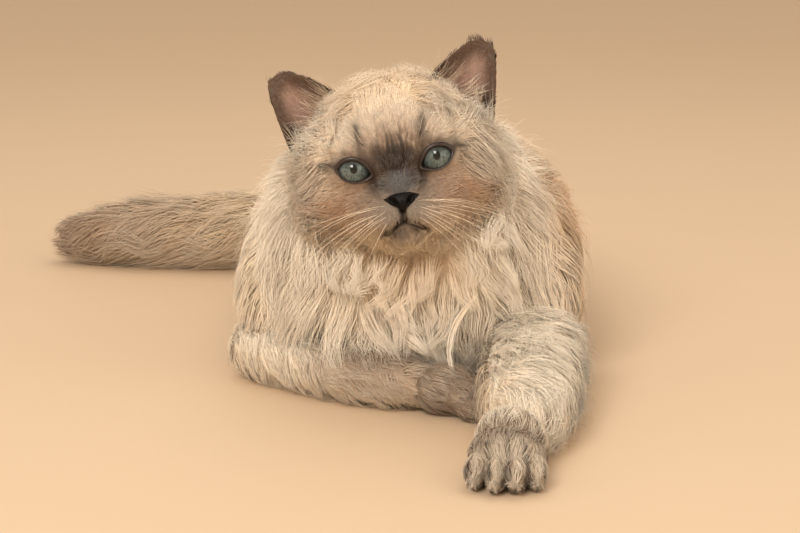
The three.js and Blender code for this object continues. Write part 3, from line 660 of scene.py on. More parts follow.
def buried(name, points):
    """Which points lie under the skin of another surface than the named one."""
    hidden = np.zeros(len(points), bool)
    for other, form in FORMS.items():
        if other != name:
            hidden |= form_depth(form, points) > BURIED_IN_BODY
    local = to_head(points)
    if name != "head":
        skull = head_distance(local) - head_coat(unit(local)) * CORE_SHARE + FACE_FUR
        hidden |= skull < -(EAR_IN_HEAD if name.startswith("ear") else BURIED_IN_BODY)
    for other, paw in PAWS.items():
        for i, oval in enumerate(paw_ovals(paw)):
            if name != f"{other}_{i}":
                hidden |= oval_depth(oval, points) > BURIED_IN_PAW
    return hidden


# Markings

def even(name, places):
    """One colour at every place."""
    return np.tile(shade(name), (len(places), 1))


def marked(colour, *marks):
    """Lays marks over a colour in turn, each by its colour's name and its share at every place."""
    for name, share in marks:
        colour = colour + (shade(name) - colour) * np.clip(share, 0, 1)[:, None]
    return colour


def head_colour(local):
    """The coat's colour on the head, from the pale crown to the blue mask, with painted shade over the
    crown and under the chin.
    """
    x, y, z = local[:, 0], local[:, 1], local[:, 2]
    wide = np.abs(x)
    front = smooth(-y, -6, 22)
    streaks = 3.5 * np.sin(x * 1.1 + 1) * np.sin(x * 0.37) + 2.5 * np.sin(x * 2.3 + 0.7)
    specks = 0.5 + 0.5 * np.sin(2.9 * x + 1.7 * z) * np.sin(3.3 * z - 2.1 * x)
    brow_patch = patch((x - 0.8, 17.5), (z - 4, 11.5 + streaks))
    brow_stripes = bump((wide - 17.5, 2.8), (z - 18, 9))
    bridge = patch((x, 11.5), (z + 8.5, 6.5))
    out, up = lid_offset(local)
    lid_line = bump((np.maximum(lid_reach(local) - 1, 0), 0.38))
    lid_share = np.clip(0.3 + 0.6 * smooth(up, -3, 3) + 0.6 * smooth(-out, 2, 8), 0, 0.95)
    eye_corner = bump((out - 14, 6), (up - 3 - 0.1 * out, 1.8))
    tear_line = bump((wide - 14 - 0.3 * (z + 6), 3.2), (z + 8, 8))
    lips = patch((mouth_away(local), 2.4))
    ear_foot_dark = bump((wide - 58, 7), (z - 8, 12)) * smooth(y, -20, -6)
    return marked(
        even("cream", local),
        ("tan", 0.85 * front * bump((wide, 42), (z + 1, 31))),
        ("mask", 0.9 * front * bump((wide, 30), (z + 8, 22))),
        ("tan", 0.9 * front * bump((wide - 33, 15), (z + 20, 16))),
        ("muzzle", 0.95 * front * bump((wide, 18), (z + 22, 11))),
        ("brow", 0.96 * front * brow_patch),
        ("bridge", 0.85 * front * bridge),
        ("brow", 0.5 * front * specks * bridge),
        ("brow", 0.9 * front * brow_stripes),
        ("brow", lid_share * front * lid_line),
        ("brow", 0.85 * front * eye_corner),
        ("brow", 0.85 * front * tear_line),
        ("chin", 0.85 * front * patch((x, 13), (z + 35.5, 6))),
        ("brow", front * lips),
        # Painted shade over the crown
        ("warm_cream_and_painted_shade", 0.5 * smooth(z, 24, 44)),
        # Painted shade under the chin
        ("warm_cream_and_painted_shade", 0.6 * bump((x - 12, 36), (z + 56, 14))),
        ("ear_rim", 0.8 * ear_foot_dark),
    )


def foreleg_hollow_shade(places):
    """Painted shade in the hollow between the chest and the stretched foreleg."""
    return bump((places[:, 0] - 39, 9), (places[:, 2] - 32, 22), (places[:, 1] + 165, 34))


def body_colour(places):
    """Cream, warmer low down and along the back; painted shade under the chin, on the left side, in the
    chest's cleft and in the foreleg's hollow.
    """
    x, y, z = places[:, 0], places[:, 1], places[:, 2]
    under_chin_shade = bump((x - 16, 38), (z - 88, 18), (y + 165, 40))
    left_side_shade = smooth(x, 50, 90) * smooth(z, 40, 100) * bump((y + 50, 70))
    chest_cleft_shade = bump((x + 16 - 0.5 * (z - 62), 3.5), (z - 62, 12), (y + 170, 30))
    return marked(
        even("cream", places),
        # Painted shade under the chin
        ("warm_cream_and_painted_shade", 0.75 * under_chin_shade),
        ("warm_cream_and_painted_shade", 0.6 * smooth(y, -80, 20) * smooth(z, 60, 130)),
        # Painted shade with warm reflected light on the left side behind the shoulder
        ("warm_cream_and_painted_shade", 0.95 * smooth(x, 62, 105) * smooth(y, -125, -70)),
        # Painted shade with warm reflected light on the left side
        ("tan", 0.5 * left_side_shade),
        # Painted shade in the cleft of the chest's coat
        ("tan", 0.8 * chest_cleft_shade),
        # Painted shade in the hollow by the foreleg
        ("brow", 0.75 * foreleg_hollow_shade(places)),
        ("warm_cream_and_painted_shade", 0.35 * (1 - smooth(z, 4, 40))),
    )


def folded_colour(places):
    """Blue-grey on the folded foreleg, cream where it leaves the body and along its lower edge."""
    x, z = places[:, 0], places[:, 2]
    return marked(
        even("blue", places),
        ("cream", 0.95 * (1 - smooth(x, -74, -30))),
        ("cream", 0.65 * (1 - smooth(z, 6, 20))),
        ("blue_dark", 0.85 * smooth(z, 20, 32) * smooth(x, -80, -20)),
    )


def foreleg_colour(places):
    """Cream on the stretched foreleg, with painted shade along its inner side and in its hollow, and greyer
    at the paw.
    """
    return marked(
        even("cream", places),
        ("blue", 0.6 * smooth(-places[:, 1], 262, 300)),
        # Painted shade along the inner side, beside the chest
        ("warm_cream_and_painted_shade", 0.45 * (1 - smooth(places[:, 0], 48, 66))),
        # Painted shade in the hollow by the foreleg
        ("brow", 0.75 * foreleg_hollow_shade(places)),
    )


def paw_colour(places):
    """Blue-grey streaks, painted shade between the toes, and cream where the long foreleg meets the paw."""
    x, y, z = places[:, 0], places[:, 1], places[:, 2]
    low = 1 - smooth(z, 2, 16)
    streaks = 0.5 + 0.5 * np.sin(x * 0.9)
    stretched = PAWS["forepaw_left"]
    across = ((x - stretched["toes"][0]) / stretched["step"]) % 1
    between = bump((across, 0.14)) + bump((across - 1, 0.14))
    toes = smooth(-y, 298, 306)
    wrist = smooth(y, -284, -266) * smooth(-y, 230, 240)
    return marked(
        even("blue", places),
        ("blue_dark", 0.5 * low + 0.5 * streaks * (1 - low)),
        ("blue_dark", 0.75 * (1 - toes)),
        ("cream", 0.35 * toes * bump((across - 0.5, 0.28))),
        # Painted shade between the toes
        ("brow", 0.75 * toes * between),
        ("cream", 0.85 * wrist),
    )


def tail_colour(places):
    """Cream at the root, then blue-grey, darkest at the tip, and paler below."""
    out = -places[:, 0]
    return marked(
        even("cream", places),
        ("tail_root", smooth(out, -40, 40)),
        ("blue", 0.8 * smooth(out, 90, 200)),
        ("cream", 0.4 * (1 - smooth(places[:, 2], 12, 34))),
        ("tail_tip", 0.9 * smooth(out, 190, 290)),
    )


def ear_share(places):
    """How far places on an ear are from its inner edge to its outer one, and how wide it is there."""
    local = to_head(places)
    flat = np.stack([np.abs(local[:, 0]), local[:, 2]], -1) - EAR_TIP[[0, 2]]
    edges = np.stack([(EAR_INNER - EAR_TIP)[[0, 2]], (EAR_OUTER - EAR_INNER)[[0, 2]]], -1)
    width, across = np.linalg.solve(edges, flat.T)
    return across / np.maximum(width, 0.05), width


def ear_inside_colour(places):
    """Mauve in the middle, dark along both edges, at the tip and at the foot."""
    across, width = ear_share(places)
    edge = 1 - smooth(np.minimum(across, 1 - across) * np.sqrt(np.clip(width, 0, 1)), -0.05, 0.3)
    tip = 1 - smooth(width, 0.12, 0.4)
    outer_foot = smooth(across, 0.72, 0.9) * smooth(width, 0.5, 0.72)
    return marked(
        even("ear_inside", places),
        ("ear_rim", 0.95 * np.maximum(edge, tip)),
        ("brow", 0.6 * smooth(width, 0.75, 1.05)),
        ("brow", 0.9 * outer_foot),
    )


def hind_colour(places):
    """The body's colour, warmer low on the thighs."""
    low = 1 - smooth(places[:, 2], 20, 60)
    return marked(body_colour(places), ("warm_cream_and_painted_shade", 0.3 * low))


# Hair: solid tapered tufts of three sides, rooted in the skin
ROOT_DEPTH = 1.0  # how deep a tuft starts under the skin
RISE_CURVE = 1.9  # how soon a tuft reaches its height
FREEING = 1.6  # how soon a loose tuft leaves the ground
STRETCH = 1.6  # the most that one step of a tuft may stretch
STIFFNESS = 0.35  # share of its own heading that a tuft keeps at each step
TAPER = 0.72  # how much thinner a tuft gets towards its tip
TAPER_CURVE = 1.4  # how late it does so
FLATNESS = 0.5  # height of a tuft's section as a share of its width
TUFT_CLEAR = 0.3  # the lowest that a tuft's sides lie
FEWEST_GUIDES = 0.002  # least share of the tufts that lead a lock
STRAY_LIFT = 1.6  # lift, lean and width of a stray tuft, as shares of the others'
STRAY_LEAN = 0.2
STRAY_WIDTH = 0.6
# Between which shares locks and tufts vary
LOCK_LENGTHS = (0.82, 1.12)
LOCK_LIFTS = (0.72, 1.05)
LOCK_WAVES = (0.7, 1.3)
TUFT_DROOPS = (0.6, 1.3)
TUFT_LOOSENESS = (0.3, 1.0)
TUFT_WIDTHS = (0.75, 1.25)
TONE_SPAN = (0.75, 1.25)
# Other measures of locks and tufts
TUFT_SINK = 0.3  # how far tufts lie below their lock at the most
LOCK_SLOPE = 0.22  # how far a lock falls off at its edge
LOCK_SPREAD = 1.5  # how much more locks point apart than tufts do
TUFT_TONE = 0.04  # how much tones vary from tuft to tuft and from lock to lock
LOCK_TONE = 0.035
JITTER = 0.012  # how far a tuft leaves its line, as a share of its length
ROOT_PAINTED_SHADE = (1.0, 0.87, 0.72)  # how much darker and warmer the coat is at its roots: painted shade deep in the coat
SOFTNESS = 0.84  # how far a tuft is shaded as the coat under it, which softens it as fine hair is
END_SPAN = (0.86, 0.97)  # where the tufts of a form's end get shorter
TRESS_HAIR = 0.4  # width of a hair in the long lock before the foreleg
TRESS_SLIDE = 4.0  # how far its hairs lie before or behind each other
TRESS_TONES = (0.65, 0.95)


def trace(ground, u, v, way, length, steps, lift, droop, loose):
    """Centres and normals of tufts that run over a ground in the directions given; a loose tuft
    leaves the ground towards its tip."""
    place, normal, along_u, along_v, rise = ground.at(u, v)
    centres = [place - normal * ROOT_DEPTH]
    normals = [normal]
    free = np.zeros(len(u), bool)
    heading = way
    for k in range(1, steps + 1):
        t = k / steps
        flat = unit(heading - normal * dot(heading, normal))
        step = (length / steps)[:, None]
        uu, uv, vv = dot(along_u, along_u), dot(along_u, along_v), dot(along_v, along_v)
        du, dv = dot(flat, along_u), dot(flat, along_v)
        det = np.maximum(uu * vv - uv * uv, 1e-3 * uu * vv + 1e-6)
        u = u + (np.clip((du * vv - dv * uv) / det, -1, 1) * step)[:, 0]
        v = v + (np.clip((dv * uu - du * uv) / det, -1, 1) * step)[:, 0]
        free |= (u < ALONG_SPAN[0]) | (u > ALONG_SPAN[1])
        if not ground.closed:
            free |= (v < ROUND_SPAN[0]) | (v > ROUND_SPAN[1])
        place, normal, along_u, along_v, _ = ground.at(u, v)
        height = rise * lift * (1 - (1 - t) ** RISE_CURVE)
        onward = centres[-1] + flat * step
        at = np.where(free[:, None], onward, place + normal * height[:, None])
        at = at + (centres[-1] + way * step - at) * loose[:, None] * min(1, FREEING * t)
        jump = at - centres[-1]
        far = np.linalg.norm(jump, axis=-1, keepdims=True)
        at = centres[-1] + jump * np.minimum(1, STRETCH * step / np.maximum(far, 1e-6))
        at[:, 2] -= droop * rise * (t * t - (t - 1 / steps) ** 2)
        centres.append(at)
        normals.append(normal)
        heading = unit(unit(at - centres[-2]) * STIFFNESS + way * (1 - STIFFNESS))
    return np.stack(centres, 1), np.stack(normals, 1)


def tufts(piece, ground_name, *, density, length, width, lie, colour, span=(0.0, 1.0), steps=4,
          lift=1.0, droop=0.0, lock=14.0, clump=0.6, wave=0.0, stray=0.03, spread=0.16,
          swing=0.3, tip=0.12, loose=0.0, ends=0.0, where=None, style=None):
    """Adds tufts to a piece. density is per square centimetre, length a least and most, lock the
    distance between locks, clump how far a tuft leans to its lock, wave how far a lock bends,
    spread how far tufts point apart, swing how far the whole lie wanders, loose how far tips
    leave the ground and ends how much shorter the tufts are at the end of a form."""
    ground = grounds()[ground_name]
    rng = piece["rng"]
    settings = bpy.context.scene.cat_sizes
    density *= settings.hair_density
    u, v = ground.scatter(rng, density, span)
    place = ground.at(u, v)[0]
    keep = ~buried(ground_name, place)
    if where is not None:
        keep &= where(place)
    u, v = u[keep], v[keep]
    place, normal, along_u, _, _ = ground.at(u, v)
    count = len(u)
    if not count:
        return
    leads = rng.random(count) < np.clip(SQUARE_CM / (lock * lock * density), FEWEST_GUIDES, 1)
    leads[0] = True
    guide = np.flatnonzero(leads)
    tree = KDTree(len(guide))
    for index, at in enumerate(place[guide]):
        tree.insert(at, index)
    tree.balance()
    found = [tree.find(at) for at in place]
    owner = np.array([index for _, index, _ in found])
    off_lock = np.array([away for _, _, away in found]) / lock
    own = dict(length=1.0, lift=1.0, loose=1.0)
    if style is not None:
        own.update(style(place))
    reach = rng.uniform(*length, count) * own["length"] * settings.hair_length
    reach *= rng.uniform(*LOCK_LENGTHS, len(guide))[owner] * (1 - ends * smooth(u, *END_SPAN))
    own_lift = np.broadcast_to(own["lift"], count) * lift
    lock_lift = rng.uniform(*LOCK_LIFTS, len(guide))
    high = own_lift * lock_lift[owner]
    high = high * (1 - TUFT_SINK * rng.random(count) ** 2 - LOCK_SLOPE * off_lock**2)
    strays = rng.random(count) < stray
    high[strays] *= STRAY_LIFT
    droops = droop * rng.uniform(*TUFT_DROOPS, count)
    base = lie(place, normal, unit(along_u)) + swing * sway(place, 6 * lock)
    lock_turn = rng.normal(size=(len(guide), 3))
    way = unit(base + spread * (rng.normal(size=(count, 3)) + lock_turn[owner]))
    loosened = loose * own["loose"] * rng.uniform(*TUFT_LOOSENESS, count)
    centres, normals = trace(ground, u, v, way, reach, steps, high, droops, loosened)
    led = unit(base[guide] + LOCK_SPREAD * spread * lock_turn)
    guides, _ = trace(ground, u[guide], v[guide], led, reach[guide], steps,
                      own_lift[guide] * lock_lift, droops[guide], loosened[guide])
    t = np.linspace(0, 1, steps + 1)[None, :, None]
    if wave:
        side = unit(np.cross(guides[:, -1] - guides[:, 0], normal[guide]))[:, None]
        phase = rng.uniform(0, 2 * math.pi, (len(guide), 1, 1))
        turns = rng.uniform(*LOCK_WAVES, (len(guide), 1, 1))
        guides = guides + side * wave * t * np.sin(phase + 2 * math.pi * turns * t)
    lean = clump * t**1.25 * np.where(strays, STRAY_LEAN, 1)[:, None, None]
    centres = centres + (guides[owner] - centres) * lean
    centres = centres + rng.normal(size=(count, 1, 3)) * JITTER * reach[:, None, None] * t
    centres[..., 2] = np.maximum(centres[..., 2], FLOOR_CLEAR)

    ahead = np.gradient(centres, axis=1)
    side = unit(np.cross(ahead, normals))
    up = unit(np.cross(side, ahead))
    girth = width * rng.uniform(*TUFT_WIDTHS, count) * np.where(strays, STRAY_WIDTH, 1)
    tone = rng.normal(1, TUFT_TONE, count) * rng.normal(1, LOCK_TONE, len(guide))[owner]
    whole = colour(place) * np.clip(tone, *TONE_SPAN)[:, None]
    add_strands(piece, ground_name, centres, side, up, normals, girth, whole, tip,
                np.stack([v % 1, u], -1))


def add_strands(piece, ground_name, centres, side, up, normals, girth, whole, tip, chart_uv):
    """Three-sided tapered tufts along centres, with their tints, facings and places on the map."""
    count, steps = len(centres), centres.shape[1] - 1
    taper = 1 - TAPER * (np.arange(steps) / steps) ** TAPER_CURVE
    wide = girth[:, None] * taper[None] / 2
    rings = []
    faced = []
    for corner in range(3):
        angle = math.pi / 2 + corner * 2 * math.pi / 3
        turned = side[:, :steps] * math.cos(angle) + up[:, :steps] * math.sin(angle)
        faced.append(unit(normals[:, :steps] * SOFTNESS + turned * (1 - SOFTNESS)))
        rings.append(
            centres[:, :steps]
            + side[:, :steps] * (wide * math.cos(angle))[..., None]
            + up[:, :steps] * (wide * FLATNESS * math.sin(angle))[..., None]
        )
    body = np.stack(rings, 2).reshape(count, steps * 3, 3)
    points = np.concatenate([body, centres[:, -1:]], 1)
    faced = np.concatenate([np.stack(faced, 2).reshape(count, steps * 3, 3), normals[:, -1:]], 1)
    points[..., 2] = np.maximum(points[..., 2], TUFT_CLEAR)
    share = tuft_shares(steps)[None, :, None]
    pale = whole * (1 - tip) + shade("cream") * tip
    # Painted shade deep in the coat: the roots are darker and warmer than the tips
    warm = (whole * ROOT_PAINTED_SHADE)[:, None] * (1 - share) + whole[:, None] * share
    tint = warm * (1 - share) + pale[:, None] * share
    chart = piece["charts"].setdefault(ground_name, len(piece["charts"]))
    piece["parts"].append((points, tint, faced, chart_uv, chart, steps))


def tuft_shares(steps):
    """How far each corner of a tuft is along it, three to a ring and one at its tip."""
    return np.concatenate([np.repeat(np.arange(steps) / steps, 3), [1.0]])


def tuft_faces(steps):
    """Corner indices of one tuft's triangles: its sides, its tip and its root."""
    faces = [(0, 1, 2)]
    for k in range(steps - 1):
        for j in range(3):
            a, b = 3 * k + j, 3 * k + (j + 1) % 3
            faces += [(a, b + 3, b), (a, a + 3, b + 3)]
    last = 3 * (steps - 1)
    faces += [(last + j, 3 * steps, last + (j + 1) % 3) for j in range(3)]
    return np.array(faces)


def tress(piece, path, reach, count):
    """Adds a long curved lock of cream hair along a path to a piece; reach is its thickness."""
    rng = piece["rng"]
    steps = 6
    t = np.linspace(0, 1, steps + 1)
    line = along(path, t)[None] + np.zeros((count, 1, 1))
    ahead = np.gradient(line, axis=1)
    front = np.tile([0.0, -1.0, 0.3], (count, steps + 1, 1))
    side = unit(np.cross(ahead, front))
    up = unit(np.cross(side, ahead))
    off = rng.normal(size=(count, 2)) * reach * 0.5
    fan = (0.35 + np.sin(math.pi * t**0.8))[None, :, None] * 0.8
    line = line + (side * off[:, :1, None] + up * off[:, 1:, None] * 0.5) * fan
    line = line + rng.uniform(-TRESS_SLIDE, TRESS_SLIDE, (count, 1, 1)) * unit(ahead)
    girth = TRESS_HAIR * rng.uniform(0.7, 1.2, count)
    whole = np.tile(shade("cream"), (count, 1)) * rng.uniform(*TRESS_TONES, (count, 1))
    add_strands(piece, "tress", line, side, up, front, girth, whole, 0.1, rng.random((count, 2)))


def new_piece(seed):
    """An empty piece of coat, with its own seeded draws."""
    return dict(rng=np.random.default_rng(seed), parts=[], charts={})


PATCH = 0.003  # size of one tuft's patch on the coat's own map
MAP_MARGIN = 0.02  # free share along the edges of a ground's part of that map


def finish_coat(name, piece, material):
    """Joins a piece's tufts to one mesh, with their colours and their map."""
    cells = max(1, math.ceil(math.sqrt(len(piece["charts"]))))
    coords, corners, tints, facings, maps = [], [], [], [], []
    base = 0
    for points, tint, faced, chart_uv, chart, steps in piece["parts"]:
        count, corner_count = points.shape[:2]
        faces = tuft_faces(steps)
        firsts = base + np.arange(count) * corner_count
        corners.append((faces[None] + firsts[:, None, None]).reshape(-1))
        cell = np.array([chart % cells, chart // cells]) / cells
        root = cell + (MAP_MARGIN + (1 - 2 * MAP_MARGIN) * chart_uv) / cells
        across = np.concatenate([np.tile([0.0, 0.5, 1.0], steps), [0.5]]) - 0.5
        spots = root[:, None] + np.stack([across, tuft_shares(steps) - 0.5], -1)[None] * PATCH
        maps.append(spots[:, faces].reshape(-1, 2))
        coords.append(points.reshape(-1, 3))
        tints.append(tint.reshape(-1, 3))
        facings.append(faced.reshape(-1, 3))
        base += count * corner_count
    coords, corners = np.concatenate(coords) * MM, np.concatenate(corners)
    tints, maps = np.concatenate(tints), np.concatenate(maps)
    mesh = bpy.data.meshes.new(name)
    mesh.vertices.add(len(coords))
    mesh.vertices.foreach_set("co", coords.ravel())
    mesh.loops.add(len(corners))
    mesh.loops.foreach_set("vertex_index", corners.astype(np.int32))
    mesh.polygons.add(len(corners) // 3)
    mesh.polygons.foreach_set("loop_start", np.arange(0, len(corners), 3, dtype=np.int32))
    mesh.update(calc_edges=True)
    mesh.validate()
    mesh.shade_smooth()
    mesh.normals_split_custom_set_from_vertices(np.concatenate(facings))
    paint(mesh, tints)
    layer = mesh.uv_layers.new(name="OFBake")
    layer.data.foreach_set("uv", maps.ravel())
    add_piece(name, mesh, material)


def paint(mesh, tints):
    """Keeps a colour for every vertex, which the coat's materials read."""
    layer = mesh.color_attributes.new("tint", "FLOAT_COLOR", "POINT")
    layer.data.foreach_set("color", np.concatenate([tints, np.ones((len(tints), 1))], 1).ravel())


def add_piece(name, mesh, material):
    """Puts a finished mesh in the scene as a piece that rides on the body."""
    if not mesh.polygons:
        raise RuntimeError(name + " came out without faces")
    piece = bpy.data.objects.new(name, mesh)
    bpy.context.scene.collection.objects.link(piece)
    mesh.materials.append(material)
    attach(piece, "root")
    return piece


# Materials
# Colours beside the user's ones
IRIS_EDGE = "#39423f"
PUPIL_BLACK = "#050505"
LEATHER_WORN = "#120e0d"
RIM_WORN = "#35231c"
WHISKER_DARK = "#e6d2b6"
WHISKER_PALE = "#f6e8d2"
# Sizes of the patterns and reliefs, in millimetres
SKIN_FUR = 1.2
SKIN_RELIEF = 0.6
IRIS_MOTTLE = 1.6
PUPIL_SOFT = 0.25
LEATHER_PEBBLE = 0.7
LEATHER_RELIEF = 0.25
LEATHER_TONE = 3.0
RIM_TONE = 2.0
WHISKER_TONE = 8.0
BOARD_MOTTLE = 125.0
SCATTER_DEPTH = 0.45  # how far light spreads in hair
LID_SHADE = (-0.5, 4.4)  # heights on the eye between which the upper lid's shade sets in
# Shares
SCATTER_RADIUS = (0.6, 0.8, 0.9)  # of that depth, for red, green and blue
LID_SHADE_LEFT = 0.14  # of the light, under the lid
BOARD_DARK = 0.97  # of the floor's colour, in its darker patches
PUPIL_NARROW = 1.32  # how many times taller than wide the pupil is
IRIS_RAYS = 9.0  # how finely the iris's rays stand round it
# Kinds of hair: roughness, sheen, size of the tones in millimetres and scattered share
HAIR_KINDS = {
    "cream_hair": (0.6, 0.04, 14, 0.22),
    "blue_hair": (0.62, 0.04, 10, 0.2),
    "mask_hair": (0.68, 0.04, 5, 0.12),
}


def node(tree, kind, inputs=None, **settings):
    """Adds a node, with its settings, and its inputs as values or as links."""
    made = tree.nodes.new("ShaderNode" + kind)
    for key, value in settings.items():
        setattr(made, key, value)
    for key, value in (inputs or {}).items():
        if isinstance(value, bpy.types.NodeSocket):
            tree.links.new(value, made.inputs[key])
        else:
            made.inputs[key].default_value = value
    return made


def material(name):
    """An empty material and its nodes."""
    made = bpy.data.materials.new(name)
    made.use_nodes = True
    made.node_tree.nodes.clear()
    return made, made.node_tree


def surface(tree, shader):
    """Ends a material with its shader."""
    node(tree, "OutputMaterial", {"Surface": shader.outputs[0]})


@functools.cache
def hair(kind):
    """Keratin hair: a satin shaft that lets some light through, with tones that change from lock
    to lock."""
    roughness, sheen, streak, scatter = HAIR_KINDS[kind]
    made, tree = material(kind)
    tint = node(tree, "Attribute", attribute_name="tint")
    place = node(tree, "TexCoord").outputs["Object"]
    noise = node(tree, "TexNoise", {"Vector": place, "Scale": 1 / (streak * MM), "Detail": 2.0})
    tone = node(tree, "MapRange", {"Value": noise.outputs["Fac"], "From Min": 0.3, "From Max": 0.7,
                                   "To Min": 0.9, "To Max": 1.08})
    colour = node(tree, "VectorMath", {0: tint.outputs["Color"], "Scale": tone.outputs[0]},
                  operation="SCALE")
    shader = node(tree, "BsdfPrincipled", {
        "Base Color": colour.outputs[0], "Roughness": roughness, "Specular IOR Level": 0.3,
        "Sheen Weight": sheen, "Sheen Roughness": 0.4, "Subsurface Weight": scatter,
        "Subsurface Radius": SCATTER_RADIUS, "Subsurface Scale": SCATTER_DEPTH * MM,
    })
    surface(tree, shader)
    return made


def skin_material():
    """Skin under the coat: the coat's own markings, darker, with the fine grain of short fur."""
    made, tree = material("furred_skin")
    tint = node(tree, "Attribute", attribute_name="tint")
    place = node(tree, "TexCoord").outputs["Object"]
    grain = node(tree, "TexNoise", {"Vector": place, "Scale": 1 / (SKIN_FUR * MM), "Detail": 3.0})
    tone = node(tree, "MapRange", {"Value": grain.outputs["Fac"], "From Min": 0.3, "From Max": 0.7,
                                   "To Min": 0.72, "To Max": 1.0})
    colour = node(tree, "VectorMath", {0: tint.outputs["Color"], "Scale": tone.outputs[0]},
                  operation="SCALE")
    relief = node(tree, "Bump", {"Height": grain.outputs["Fac"], "Strength": 0.5,
                                 "Distance": SKIN_RELIEF * MM})
    surface(tree, node(tree, "BsdfPrincipled", {
        "Base Color": colour.outputs[0], "Roughness": 0.8, "Normal": relief.outputs[0],
        "Specular IOR Level": 0.2,
    }))
    return made


def eye_material(side):
    """A wet eye: a glossy cornea over a pale iris with fine rays and an upright pupil, shaded by
    the upper lid."""
    made, tree = material("wet_eye_" + side)
    place = node(tree, "TexCoord").outputs["Object"]
    at, turn = eye_frame(side)
    local = node(tree, "Mapping", {"Vector": place, "Location": Vector(at) * MM,
                                   "Rotation": turn.to_euler()}, vector_type="TEXTURE")
    parts = node(tree, "SeparateXYZ", {"Vector": local.outputs[0]})
    flat = node(tree, "CombineXYZ", {"X": parts.outputs["X"], "Y": parts.outputs["Z"]})
    away = node(tree, "VectorMath", {0: flat.outputs[0]}, operation="LENGTH")
    radius = node(tree, "Math", {0: away.outputs["Value"], 1: size("iris_radius") * MM},
                  operation="DIVIDE")
    across = node(tree, "VectorMath", {0: flat.outputs[0], 1: (PUPIL_NARROW, 1.0, 1.0)},
                  operation="MULTIPLY")
    oval = node(tree, "VectorMath", {0: across.outputs[0]}, operation="LENGTH")
    pupil = node(tree, "MapRange", {"Value": oval.outputs["Value"],
                                    "From Min": (size("pupil_radius") - PUPIL_SOFT) * MM,
                                    "From Max": (size("pupil_radius") + PUPIL_SOFT) * MM})
    ray = node(tree, "VectorMath", {0: flat.outputs[0]}, operation="NORMALIZE")
    rays = node(tree, "TexNoise", {"Vector": ray.outputs[0], "Scale": IRIS_RAYS, "Detail": 3.0})
    mottle = node(tree, "TexNoise", {"Vector": place, "Scale": 1 / (IRIS_MOTTLE * MM), "Detail": 2.0})
    pattern = node(tree, "Math", {0: rays.outputs["Fac"], 1: mottle.outputs["Fac"]}, operation="ADD")
    tone = node(tree, "MapRange", {"Value": pattern.outputs[0], "From Min": 0.7, "From Max": 1.3})
    iris = node(tree, "Mix", {"Factor": tone.outputs[0], "A": (*shade("iris_rim"), 1),
                              "B": (*shade("iris"), 1)}, data_type="RGBA")
    ramp = node(tree, "MapRange", {"Value": radius.outputs[0], "From Min": 0.72, "From Max": 1.0})
    ringed = node(tree, "Mix", {"Factor": ramp.outputs[0], "A": iris.outputs["Result"],
                                "B": (*linear(IRIS_EDGE), 1)}, data_type="RGBA")
    whole = node(tree, "Mix", {"Factor": pupil.outputs[0], "A": (*linear(PUPIL_BLACK), 1),
                               "B": ringed.outputs["Result"]}, data_type="RGBA")
    dim = node(tree, "MapRange", {"Value": parts.outputs["Z"], "From Min": LID_SHADE[0] * MM,
                                  "From Max": LID_SHADE[1] * MM, "To Min": 1.0,
                                  "To Max": LID_SHADE_LEFT})
    shaded = node(tree, "VectorMath", {0: whole.outputs["Result"], "Scale": dim.outputs[0]},
                  operation="SCALE")
    surface(tree, node(tree, "BsdfPrincipled", {
        "Base Color": shaded.outputs[0], "Specular IOR Level": 0.0, "Coat Weight": 1.0,
        "Coat Roughness": 0.03,
    }))
    return made


def leather_material():
    """Nose leather: near black, moist, with a fine pebbled grain."""
    made, tree = material("nose_leather")
    place = node(tree, "TexCoord").outputs["Object"]
    pebbles = node(tree, "TexVoronoi", {"Vector": place, "Scale": 1 / (LEATHER_PEBBLE * MM)})
    relief = node(tree, "Bump", {"Height": pebbles.outputs["Distance"], "Strength": 0.5,
                                 "Distance": LEATHER_RELIEF * MM})
    noise = node(tree, "TexNoise", {"Vector": place, "Scale": 1 / (LEATHER_TONE * MM)})
    colour = node(tree, "Mix", {"Factor": noise.outputs["Fac"], "A": (*shade("leather"), 1),
                                "B": (*linear(LEATHER_WORN), 1)}, data_type="RGBA")
    surface(tree, node(tree, "BsdfPrincipled", {
        "Base Color": colour.outputs["Result"], "Roughness": 0.45, "Normal": relief.outputs[0],
        "Specular IOR Level": 0.14,
    }))
    return made


def rim_material():
    """The lids' bare rims: dark, smooth and wet."""
    made, tree = material("lid_rim")
    place = node(tree, "TexCoord").outputs["Object"]
    noise = node(tree, "TexNoise", {"Vector": place, "Scale": 1 / (RIM_TONE * MM)})
    colour = node(tree, "Mix", {"Factor": noise.outputs["Fac"], "A": (*shade("lid_rim"), 1),
                                "B": (*linear(RIM_WORN), 1)}, data_type="RGBA")
    shader = node(tree, "BsdfPrincipled", {"Base Color": colour.outputs["Result"], "Roughness": 0.4})
    surface(tree, shader)
    return made


def whisker_material():
    """Whiskers: stiff keratin, pale and fairly glossy."""
    made, tree = material("whisker_keratin")
    place = node(tree, "TexCoord").outputs["Object"]
    noise = node(tree, "TexNoise", {"Vector": place, "Scale": 1 / (WHISKER_TONE * MM)})
    colour = node(tree, "Mix", {"Factor": noise.outputs["Fac"], "A": (*linear(WHISKER_DARK), 1),
                                "B": (*linear(WHISKER_PALE), 1)}, data_type="RGBA")
    shader = node(tree, "BsdfPrincipled", {"Base Color": colour.outputs["Result"], "Roughness": 0.35})
    surface(tree, shader)
    return made


